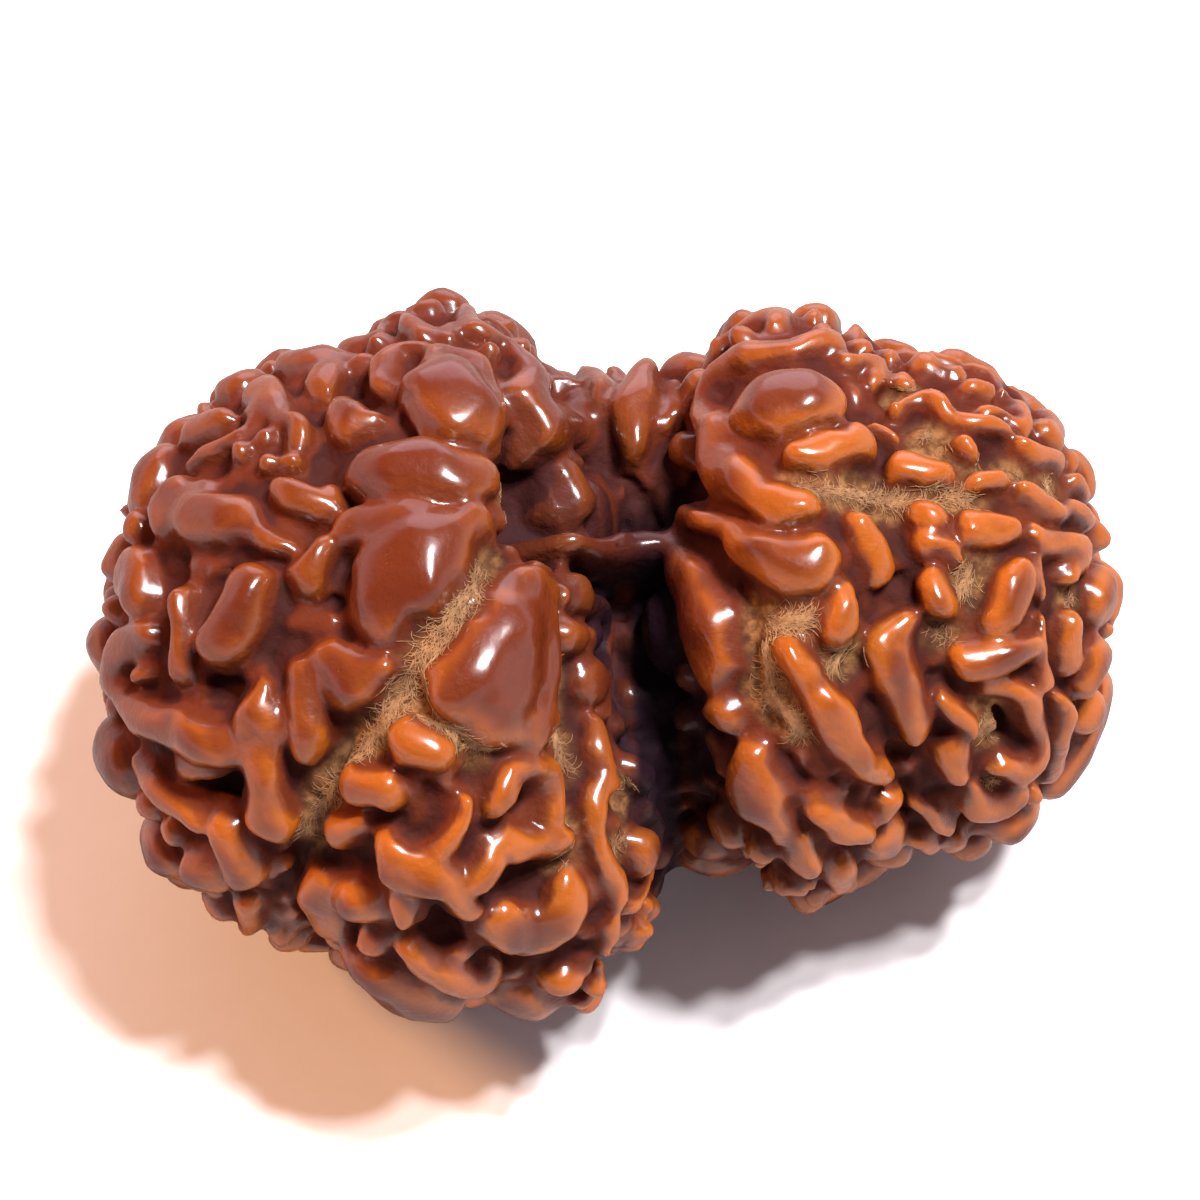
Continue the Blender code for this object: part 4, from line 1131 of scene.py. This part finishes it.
def proudness(data: bpy.types.Mesh, places: np.ndarray, normals: np.ndarray, rounds: int) -> np.ndarray:
    """How far each point stands proud of its surroundings, along its normal.

    Args:
        data: The mesh, for its edges.
        places: Its points.
        normals: The points' normals.
        rounds: How wide the surroundings are, in rounds of averaging.

    Returns:
        Millimetres, negative in a hollow.
    """
    ends = np.empty(len(data.edges) * 2, np.int32)
    data.edges.foreach_get("vertices", ends)
    first, second = ends[0::2], ends[1::2]
    count = len(places)
    degree = np.bincount(ends, minlength=count).astype(np.float64)
    smooth = places.astype(np.float64)
    for _ in range(rounds):
        total = np.empty_like(smooth)
        for axis in range(3):
            total[:, axis] = np.bincount(first, smooth[second, axis], count)
            total[:, axis] += np.bincount(second, smooth[first, axis], count)
        smooth = total / degree[:, None]
    return ((places - smooth) * normals).sum(axis=1)


def drop_scraps(mesh: bmesh.types.BMesh) -> None:
    """Drops every loose bit of the mesh but the largest."""
    left = set(mesh.verts)
    islands = []
    while left:
        island = {left.pop()}
        edge = list(island)
        while edge:
            vert = edge.pop()
            for other in (e.other_vert(vert) for e in vert.link_edges):
                if other in left:
                    left.discard(other)
                    island.add(other)
                    edge.append(other)
        islands.append(island)
    islands.sort(key=len)
    drop = [v for island in islands[:-1] for v in island]
    bmesh.ops.delete(mesh, geom=drop, context="VERTS")


@dataclass
class HuskFibre:
    """Tan strands of the husk that stay caught in the grooves."""

    plan: Plan
    stone: Stone
    seed: int = 27
    per_step: int = 27
    per_flock: int = 41
    thickness: float = 0.012
    lift: float = 0.015
    points: int = 7
    scatter: float = 0.45
    start_height: float = 0.6
    climb: float = 0.05
    bend: float = 0.2
    tip: float = 0.45
    weld: float = 1e-4
    band_habit: tuple[float, float] = (0.3, 1.1)
    flock_habit: tuple[float, float] = (3.0, 0.6)

    def build(self, ground: bpy.types.Object) -> bpy.types.Object:
        """Lays the strands on the stone.

        Args:
            ground: The finished stone.

        Returns:
            One mesh of thin strands.
        """
        draw = random.Random(self.seed)
        back = self.plan.placing.inverted()
        points = [back @ v.co for v in ground.data.vertices]
        faces = [tuple(p.vertices) for p in ground.data.polygons]
        skin = BVHTree.FromPolygons(points, faces)
        curve = bpy.data.curves.new("husk_fibre", "CURVE")
        curve.dimensions = "3D"
        curve.bevel_depth = self.thickness
        curve.bevel_resolution = 0
        curve.use_fill_caps = True
        for path in self.stone.bands:
            for a, b in zip(path, path[1:]):
                along = (b.point - a.point).normalized()
                for _ in range(self.per_step):
                    self.strand(curve, skin, draw, a.blend(b, draw.random()), along, self.band_habit)
        for path in self.stone.flocks:
            for seat in path:
                for _ in range(self.per_flock // len(path) + 2):
                    along = seat.up.orthogonal().normalized()
                    self.strand(curve, skin, draw, seat, along, self.flock_habit)
        body = bpy.data.objects.new("strands", curve)
        bpy.context.scene.collection.objects.link(body)
        data = taken(body)
        bpy.data.objects.remove(body)
        clean = bmesh.new()
        clean.from_mesh(data)
        bmesh.ops.remove_doubles(clean, verts=clean.verts, dist=self.weld)
        bmesh.ops.recalc_face_normals(clean, faces=clean.faces)
        clean.to_mesh(data)
        clean.free()
        data.name = "husk_fibre"
        data.transform(self.plan.placing)
        data.shade_smooth()
        fibre = bpy.data.objects.new("husk_fibre", data)
        bpy.context.scene.collection.objects.link(fibre)
        return fibre

    def strand(
        self,
        curve: bpy.types.Curve,
        skin: BVHTree,
        draw: random.Random,
        seat: Seat,
        along: Vector,
        habit: tuple[float, float],
    ) -> None:
        """Adds one strand that follows the ground.

        Args:
            curve: The curve that gathers the strands.
            skin: The stone's surface.
            draw: The seeded draw.
            seat: The place that it starts near.
            along: The groove's direction.
            habit: How far its direction may turn from the groove's, and how long it may be.
        """
        spread, longest = habit
        across = seat.up.cross(along)
        start = (seat.point + across * draw.gauss(0.0, self.scatter) * seat.width
                 + seat.up * self.start_height)
        way = Matrix.Rotation(draw.gauss(0.0, spread), 3, seat.up) @ along
        step = draw.uniform(0.3, 1.0) * longest / self.points
        bend = draw.gauss(0.0, self.bend)
        line = []
        for k in range(self.points):
            hit, normal, _, _ = skin.find_nearest(start)
            if hit is None:
                return
            line.append(hit + normal * self.lift * draw.uniform(0.2, 2.2))
            way = Matrix.Rotation(bend, 3, seat.up) @ way
            start = hit + way * step + normal * self.climb
        run = curve.splines.new("POLY")
        run.points.add(len(line) - 1)
        for k, (point, place) in enumerate(zip(run.points, line)):
            point.co = (*place, 1.0)
            point.radius = 1.0 if 0 < k < len(line) - 1 else self.tip


class Sheet:
    """A node tree with short calls that add and join nodes."""

    def __init__(self, tree: bpy.types.NodeTree) -> None:
        """Keeps the tree."""
        self.tree = tree

    @staticmethod
    def surface(name: str) -> tuple[bpy.types.Material, "Sheet", bpy.types.Node]:
        """Starts a material.

        Args:
            name: Its name.

        Returns:
            The material, its sheet and its Principled node.
        """
        look = bpy.data.materials.new(name)
        look.use_nodes = True
        return look, Sheet(look.node_tree), look.node_tree.nodes["Principled BSDF"]

    def add(self, kind: str, **settings: object) -> bpy.types.Node:
        """Adds a node.

        Args:
            kind: The node's type name, without its ShaderNode prefix.
            **settings: Properties to set on it.

        Returns:
            The node.
        """
        node = self.tree.nodes.new(f"ShaderNode{kind}")
        for name, value in settings.items():
            setattr(node, name, value)
        return node

    def put(self, target: bpy.types.NodeSocket, source: object) -> None:
        """Joins a socket to the target, or sets the target's own value."""
        if isinstance(source, bpy.types.NodeSocket):
            self.tree.links.new(source, target)
        else:
            target.default_value = source

    def math(self, operation: str, *values: object, clamp: bool = False) -> bpy.types.NodeSocket:
        """A Math node's result.

        Args:
            operation: The operation's name.
            *values: Sockets or numbers.
            clamp: Whether the result stays between 0 and 1.

        Returns:
            The result's socket.
        """
        node = self.add("Math", operation=operation, use_clamp=clamp)
        for socket, value in zip(node.inputs, values):
            self.put(socket, value)
        return node.outputs[0]

    def span(self, value: object, low: float, high: float) -> bpy.types.NodeSocket:
        """A value taken smoothly from 0 at low to 1 at high."""
        node = self.add("MapRange", interpolation_type="SMOOTHSTEP")
        self.put(node.inputs["Value"], value)
        node.inputs["From Min"].default_value = low
        node.inputs["From Max"].default_value = high
        return node.outputs["Result"]

    def times(self, a: object, b: object, clamp: bool = False) -> bpy.types.NodeSocket:
        """Two values multiplied."""
        return self.math("MULTIPLY", a, b, clamp=clamp)

    def fade(self, value: object, low: float, high: float) -> bpy.types.NodeSocket:
        """A value taken smoothly from 1 at low to 0 at high."""
        return self.math("SUBTRACT", 1.0, self.span(value, low, high))

    def mix(self, share: object, a: object, b: object) -> bpy.types.NodeSocket:
        """Two colours mixed.

        Args:
            share: The share of the second.
            a: The first colour.
            b: The second colour.

        Returns:
            The mixed colour's socket.
        """
        node = self.add("Mix", data_type="RGBA")
        self.put(node.inputs[0], share)
        self.put(node.inputs[6], a if isinstance(a, bpy.types.NodeSocket) else (*a, 1.0))
        self.put(node.inputs[7], b if isinstance(b, bpy.types.NodeSocket) else (*b, 1.0))
        return node.outputs[2]

    def ramp(self, value: object, stops: tuple[tuple[float, Colour], ...]) -> bpy.types.NodeSocket:
        """A colour read from a row of stops.

        Args:
            value: Where to read.
            stops: Places and colours.

        Returns:
            The colour's socket.
        """
        node = self.add("ValToRGB")
        node.color_ramp.interpolation = "EASE"
        elements = node.color_ramp.elements
        while len(elements) < len(stops):
            elements.new(0.5)
        for element, (place, colour) in zip(elements, stops):
            element.position = place
            element.color = (*colour, 1.0)
        self.put(node.inputs[0], value)
        return node.outputs[0]

    def measure(self, name: str) -> bpy.types.NodeSocket:
        """A value that is written on the mesh."""
        return self.add("Attribute", attribute_name=name).outputs["Fac"]

    def place(self) -> bpy.types.NodeSocket:
        """The place on the object."""
        return self.add("TexCoord").outputs["Object"]


def mottling() -> bpy.types.NodeTree:
    """The group of uneven growth that all husk and stone share, made once.

    Returns:
        A group with a place, a broad and a fine size in, and two masks and a height out.
    """
    name = "grown mottling"
    if name in bpy.data.node_groups:
        return bpy.data.node_groups[name]
    tree = bpy.data.node_groups.new(name, "ShaderNodeTree")
    tree.interface.new_socket("Place", in_out="INPUT", socket_type="NodeSocketVector")
    for given_name in ("Broad Scale", "Fine Scale"):
        tree.interface.new_socket(given_name, in_out="INPUT", socket_type="NodeSocketFloat")
    for result_name in ("Broad", "Fine", "Height"):
        tree.interface.new_socket(result_name, in_out="OUTPUT", socket_type="NodeSocketFloat")
    sheet = Sheet(tree)
    given = tree.nodes.new("NodeGroupInput")
    out = tree.nodes.new("NodeGroupOutput")
    masks = []
    for scale, detail in (("Broad Scale", 2.0), ("Fine Scale", 4.0)):
        texture = sheet.add("TexNoise")
        sheet.put(texture.inputs["Vector"], given.outputs["Place"])
        sheet.put(texture.inputs["Scale"], given.outputs[scale])
        texture.inputs["Detail"].default_value = detail
        texture.inputs["Roughness"].default_value = 0.55
        masks.append(texture.outputs["Fac"])
    sheet.put(out.inputs["Broad"], sheet.span(masks[0], 0.32, 0.68))
    sheet.put(out.inputs["Fine"], sheet.span(masks[1], 0.3, 0.7))
    sheet.put(out.inputs["Height"], sheet.math("MULTIPLY_ADD", masks[0], 0.7, masks[1]))
    return tree


def grown(sheet: Sheet, broad: float, fine: float) -> bpy.types.Node:
    """Places the mottling group in a material.

    Args:
        sheet: The material's nodes.
        broad: The broad noise's scale, per metre.
        fine: The fine noise's scale, per metre.

    Returns:
        The group's node.
    """
    node = sheet.add("Group")
    node.node_tree = mottling()
    sheet.put(node.inputs["Place"], sheet.place())
    node.inputs["Broad Scale"].default_value = broad
    node.inputs["Fine Scale"].default_value = fine
    return node


@dataclass(frozen=True)
class StoneFinish:
    """Polished brown stone: orange crests, partly painted light through their thin edges, red flanks,
    painted shade that makes creases and hollows near-black, painted light on the front warts, and dust in
    the grooves.
    """

    # Painted shade: the dark colour given to creases and low ground.
    painted_crease_shade: Colour = (0.034, 0.008, 0.006)
    flank: Colour = (0.084, 0.016, 0.006)
    face: Colour = (0.098, 0.019, 0.005)
    crest: Colour = (0.145, 0.031, 0.004)
    # Partly the right lobe's own orange tone, partly painted light on the front warts.
    orange_tone_and_painted_light: Colour = (0.29, 0.072, 0.006)
    mahogany: Colour = (0.078, 0.012, 0.003)
    # Painted shade: the near-black of the hollows and of the gap between the lobes.
    deep: Colour = (0.012, 0.005, 0.008)
    husk: Colour = (0.19, 0.09, 0.035)
    back: Colour = (0.070, 0.012, 0.007)
    roughness: float = 0.36
    gloss: float = 0.42
    sheen: float = 0.06
    gloss_roughness: float = 0.2
    coat_ior: float = 2.0
    bump_height: float = 0.00018
    bump_strength: float = 0.5
    gap_x: float = 0.0017

    def material(self) -> bpy.types.Material:
        """The finish as a material."""
        look, sheet, shader = Sheet.surface("polished seed stone")
        growth = grown(sheet, 420.0, 2400.0)
        axes = sheet.add("SeparateXYZ")
        sheet.put(axes.inputs[0], sheet.place())
        shade = self.shade(sheet, growth)
        sunk = self.sunk(sheet, axes)
        dust = self.dust(sheet, growth)
        # Painted shade: hollows and the gap between the lobes are mixed towards near-black.
        colour = sheet.mix(sunk, self.pigment(sheet, axes, shade), self.deep)
        husk = sheet.mix(growth.outputs["Fine"], tuple(c * 0.5 for c in self.husk), self.husk)
        sheet.put(shader.inputs["Base Color"], sheet.mix(dust, colour, husk))
        rough = sheet.math("MULTIPLY_ADD", growth.outputs["Fine"], 0.12, self.roughness)
        rough = sheet.math("MULTIPLY_ADD", sheet.fade(shade, 0.1, 0.45), 0.3, rough)
        rough = sheet.math("MULTIPLY_ADD", dust, 0.5, rough, clamp=True)
        sheet.put(shader.inputs["Roughness"], rough)
        clean = sheet.math("SUBTRACT", sheet.span(shade, 0.2, 0.5), dust)
        clean = sheet.math("SUBTRACT", clean, sunk, clamp=True)
        sheet.put(shader.inputs["Coat Weight"], sheet.times(clean, self.gloss))
        shader.inputs["Coat Roughness"].default_value = self.gloss_roughness
        shader.inputs["Coat IOR"].default_value = self.coat_ior
        shader.inputs["Specular IOR Level"].default_value = self.sheen
        bump = sheet.add("Bump")
        bump.inputs["Strength"].default_value = self.bump_strength
        bump.inputs["Distance"].default_value = self.bump_height
        sheet.put(bump.inputs["Height"], growth.outputs["Height"])
        sheet.put(shader.inputs["Normal"], bump.outputs["Normal"])
        return look

    def shade(self, sheet: Sheet, growth: bpy.types.Node) -> bpy.types.NodeSocket:
        """How light the stone is painted: 0 in creases and on low ground, which is painted shade, and 1 on
        a narrow crest, which is partly its own orange tone and partly painted light through thin edges.

        Args:
            sheet: The material's nodes.
            growth: The uneven growth.

        Returns:
            The shade's socket.
        """
        # Painted shade: low relief and hollow places give a low value and so the dark colour of creases;
        # narrow crests get a high one.
        relief = sheet.span(sheet.measure("relief"), -0.1, 1.5)
        crest = sheet.span(sheet.measure("crest"), -0.3, 0.3)
        narrow = sheet.span(sheet.measure("edge"), 0.05, 0.21)
        shade = sheet.times(relief, 0.35)
        shade = sheet.math("MULTIPLY_ADD", crest, 0.25, shade)
        shade = sheet.math("MULTIPLY_ADD", narrow, 0.4, shade)
        uneven = sheet.math("SUBTRACT", growth.outputs["Broad"], 0.5)
        return sheet.math("MULTIPLY_ADD", uneven, 0.24, shade, clamp=True)

    def pigment(
        self, sheet: Sheet, axes: bpy.types.Node, shade: bpy.types.NodeSocket
    ) -> bpy.types.NodeSocket:
        """The stone's colour with painted light and shade: darkened in creases through the shade value,
        brighter to the right, which is the right lobe's own tone, and in front, which is painted light,
        darker on broad warts and behind.

        Args:
            sheet: The material's nodes.
            axes: The place on the object, split up.
            shade: The stone's shade.

        Returns:
            The colour's socket.
        """
        stops = ((0.05, self.painted_crease_shade), (0.28, self.flank), (0.58, self.face), (0.92, self.crest))
        colour = sheet.ramp(shade, stops)
        # The right lobe is more orange in its own tone; the warts in front are made lighter with painted
        # light, as if a lamp lit them from the front.
        right = sheet.span(axes.outputs["X"], 0.0, 0.008)
        ahead = sheet.span(sheet.times(axes.outputs["Y"], -1.0), 0.004, 0.010)
        right_tone_and_painted_front_light = sheet.times(sheet.math("MAXIMUM", right, ahead), 0.8)
        right_tone_and_painted_front_light = sheet.times(right_tone_and_painted_front_light, sheet.span(shade, 0.3, 0.85))
        colour = sheet.mix(right_tone_and_painted_front_light, colour, self.orange_tone_and_painted_light)
        wide = sheet.times(sheet.span(sheet.measure("relief"), 1.1, 1.45), 0.9)
        colour = sheet.mix(wide, colour, self.mahogany)
        behind = sheet.times(sheet.span(axes.outputs["Y"], 0.001, 0.011), 0.45)
        return sheet.mix(behind, colour, self.back)

    def sunk(self, sheet: Sheet, axes: bpy.types.Node) -> bpy.types.NodeSocket:
        """The mask of painted shade: the core's hollows, where little sky is open, and the gap between the
        lobes are darkened.

        Args:
            sheet: The material's nodes.
            axes: The place on the object, split up.

        Returns:
            The mask's socket.
        """
        away = sheet.math("ABSOLUTE", sheet.math("SUBTRACT", axes.outputs["X"], self.gap_x))
        gap = sheet.fade(away, 0.0005, 0.0012)
        gap = sheet.times(gap, sheet.span(axes.outputs["Y"], -0.009, -0.006))
        gap = sheet.times(gap, sheet.fade(axes.outputs["Y"], 0.002, 0.0045))
        gap = sheet.times(gap, sheet.fade(axes.outputs["Z"], 0.0155, 0.0175))
        # Painted shade from the core's open-sky share, and in the gap between the lobes.
        return sheet.math("MAXIMUM", sheet.fade(sheet.measure("open"), 0.3, 0.85), gap)

    def dust(self, sheet: Sheet, growth: bpy.types.Node) -> bpy.types.NodeSocket:
        """The mask of the husk dust on the low ground near fibre.

        Args:
            sheet: The material's nodes.
            growth: The uneven growth.

        Returns:
            The mask's socket.
        """
        low = sheet.fade(sheet.measure("relief"), 0.1, 0.75)
        dust = sheet.times(sheet.span(sheet.measure("fibre"), 0.25, 0.9), low)
        patchy = sheet.math("MULTIPLY_ADD", growth.outputs["Fine"], 0.7, 0.45)
        return sheet.times(dust, patchy, clamp=True)


@dataclass(frozen=True)
class FibreFinish:
    """Dry tan husk fibre."""

    dark: Colour = (0.12, 0.050, 0.018)
    pale: Colour = (0.34, 0.18, 0.075)
    roughness: float = 0.85

    def material(self) -> bpy.types.Material:
        """The finish as a material."""
        look, sheet, shader = Sheet.surface("husk fibre")
        growth = grown(sheet, 700.0, 5200.0)
        tone = sheet.times(growth.outputs["Broad"], 0.5)
        tone = sheet.math("MULTIPLY_ADD", growth.outputs["Fine"], 0.5, tone)
        sheet.put(shader.inputs["Base Color"], sheet.mix(tone, self.dark, self.pale))
        shader.inputs["Roughness"].default_value = self.roughness
        return look


@dataclass(frozen=True)
class FloorFinish:
    """Matt white board, which the polished stone mirrors only dimly."""

    colour: Colour = (0.86, 0.85, 0.86)
    mirrored: float = 0.36
    roughness: float = 0.9

    def material(self) -> bpy.types.Material:
        """The finish as a material."""
        look, sheet, shader = Sheet.surface("white board")
        growth = grown(sheet, 60.0, 900.0)
        tone = tuple(c * 0.985 for c in self.colour)
        board = sheet.mix(growth.outputs["Fine"], tone, self.colour)
        mirrored = sheet.add("LightPath").outputs["Is Glossy Ray"]
        dimmed = tuple(c * self.mirrored for c in self.colour)
        sheet.put(shader.inputs["Base Color"], sheet.mix(mirrored, board, dimmed))
        shader.inputs["Roughness"].default_value = self.roughness
        return look


@dataclass
class Lamp:
    """A round area lamp that looks at the seed."""

    name: str
    direction: tuple[float, float, float]
    distance: float
    size: float
    power: float
    colour: Colour
    glossy: bool = True

    def build(self, aim: Vector) -> bpy.types.Object:
        """Hangs the lamp.

        Args:
            aim: The point that it looks at, in metres.

        Returns:
            The lamp.
        """
        light = bpy.data.lights.new(self.name, "AREA")
        light.shape = "DISK"
        light.size = self.size
        light.energy = self.power
        light.color = self.colour
        lamp = bpy.data.objects.new(self.name, light)
        towards = Vector(self.direction).normalized()
        lamp.location = aim + towards * self.distance
        lamp.rotation_mode = "QUATERNION"
        lamp.rotation_quaternion = towards.to_track_quat("Z", "Y")
        lamp.visible_glossy = self.glossy
        bpy.context.scene.collection.objects.link(lamp)
        return lamp


@dataclass
class Studio:
    """The floor, the lights and the camera."""

    plan: Plan
    floor_half: float = 1.5
    sensor: float = 36.0
    clip: tuple[float, float] = (0.005, 20.0)
    aim: Vector = Vector((0.0, 0.0, 0.01))
    surroundings: Colour = (0.88, 0.74, 0.80)
    surroundings_strength: float = 0.32
    mirrored_walls: float = 1.3
    mirrored_ceiling: float = 0.1
    wall_top: tuple[float, float] = (0.15, 0.6)
    lamps: tuple[Lamp, ...] = (
        Lamp("key left", (0.24, 0.06, 1.0), 0.60, 0.055, 2.6, (1.0, 0.96, 0.98)),
        Lamp("key right", (0.42, 0.15, 1.0), 0.60, 0.060, 3.0, (1.0, 0.96, 0.98)),
        Lamp("key front", (0.38, -0.02, 1.0), 0.60, 0.050, 2.4, (1.0, 0.96, 0.98)),
        Lamp("key back", (0.30, 0.20, 1.0), 0.60, 0.050, 2.4, (1.0, 0.96, 0.98)),
        Lamp("warm side", (-1.0, 0.22, 0.80), 0.70, 0.16, 5.1, (1.0, 0.46, 0.18), glossy=False),
        Lamp("back wall", (0.05, 1.0, 0.32), 0.80, 0.70, 2.4, (0.93, 0.86, 1.0)),
    )

    def build(self) -> None:
        """Sets up the whole studio."""
        self.floor()
        self.world()
        for lamp in self.lamps:
            lamp.build(self.aim)
        self.camera()
        bpy.context.scene.view_settings.view_transform = "Standard"

    def floor(self) -> None:
        """A wide flat board under the seed."""
        board = bmesh.new()
        bmesh.ops.create_grid(board, x_segments=1, y_segments=1, size=self.floor_half)
        data = bpy.data.meshes.new("floor")
        board.to_mesh(data)
        board.free()
        data.materials.append(FloorFinish().material())
        floor = bpy.data.objects.new("floor", data)
        bpy.context.scene.collection.objects.link(floor)

    def world(self) -> None:
        """Pale surroundings, which the camera itself sees as plain white."""
        world = bpy.data.worlds.new("pale room")
        bpy.context.scene.world = world
        world.use_nodes = True
        sheet = Sheet(world.node_tree)
        room = world.node_tree.nodes["Background"]
        room.inputs["Color"].default_value = (*self.surroundings, 1.0)
        way = sheet.add("SeparateXYZ")
        sheet.put(way.inputs[0], sheet.add("TexCoord").outputs["Generated"])
        rise = sheet.span(way.outputs["Z"], *self.wall_top)
        drop = self.mirrored_ceiling - self.mirrored_walls
        mirrored = sheet.math("MULTIPLY_ADD", rise, drop, self.mirrored_walls - self.surroundings_strength)
        seen = sheet.add("Background")
        seen.inputs["Color"].default_value = (1.0, 1.0, 1.0, 1.0)
        blend = sheet.add("MixShader")
        ray = sheet.add("LightPath")
        level = sheet.math("MULTIPLY_ADD", ray.outputs["Is Glossy Ray"], mirrored,
                           self.surroundings_strength)
        sheet.put(room.inputs["Strength"], level)
        sheet.put(blend.inputs[0], ray.outputs["Is Camera Ray"])
        sheet.put(blend.inputs[1], room.outputs[0])
        sheet.put(blend.inputs[2], seen.outputs[0])
        sheet.put(world.node_tree.nodes["World Output"].inputs["Surface"], blend.outputs[0])

    def camera(self) -> None:
        """The camera at the plan's eye."""
        data = bpy.data.cameras.new("camera")
        data.sensor_width = self.sensor
        data.lens = self.sensor / 2 * self.plan.distance / self.plan.half_view
        data.clip_start, data.clip_end = self.clip
        camera = bpy.data.objects.new("camera", data)
        camera.location = self.plan.placing @ self.plan.eye
        camera.rotation_mode = "QUATERNION"
        camera.rotation_quaternion = (-self.plan.towards_eye).to_track_quat("-Z", "Y")
        bpy.context.scene.collection.objects.link(camera)
        bpy.context.scene.camera = camera


def main() -> None:
    """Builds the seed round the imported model."""
    logging.basicConfig(level=logging.INFO, format="%(name)s: %(message)s")
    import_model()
    plan = Plan()

    stone = Stone(plan)
    skin = stone.build()
    skin.data.materials.append(StoneFinish().material())
    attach(skin, BODY)
    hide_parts(NODE)
    LOG.info("stone: %d triangles", len(skin.data.polygons))

    fibre = HuskFibre(plan, stone).build(skin)
    fibre.data.materials.append(FibreFinish().material())
    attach(fibre, BODY)
    LOG.info("fibre: %d faces", len(fibre.data.polygons))

    Studio(plan).build()


if __name__ == "__main__":
    main()
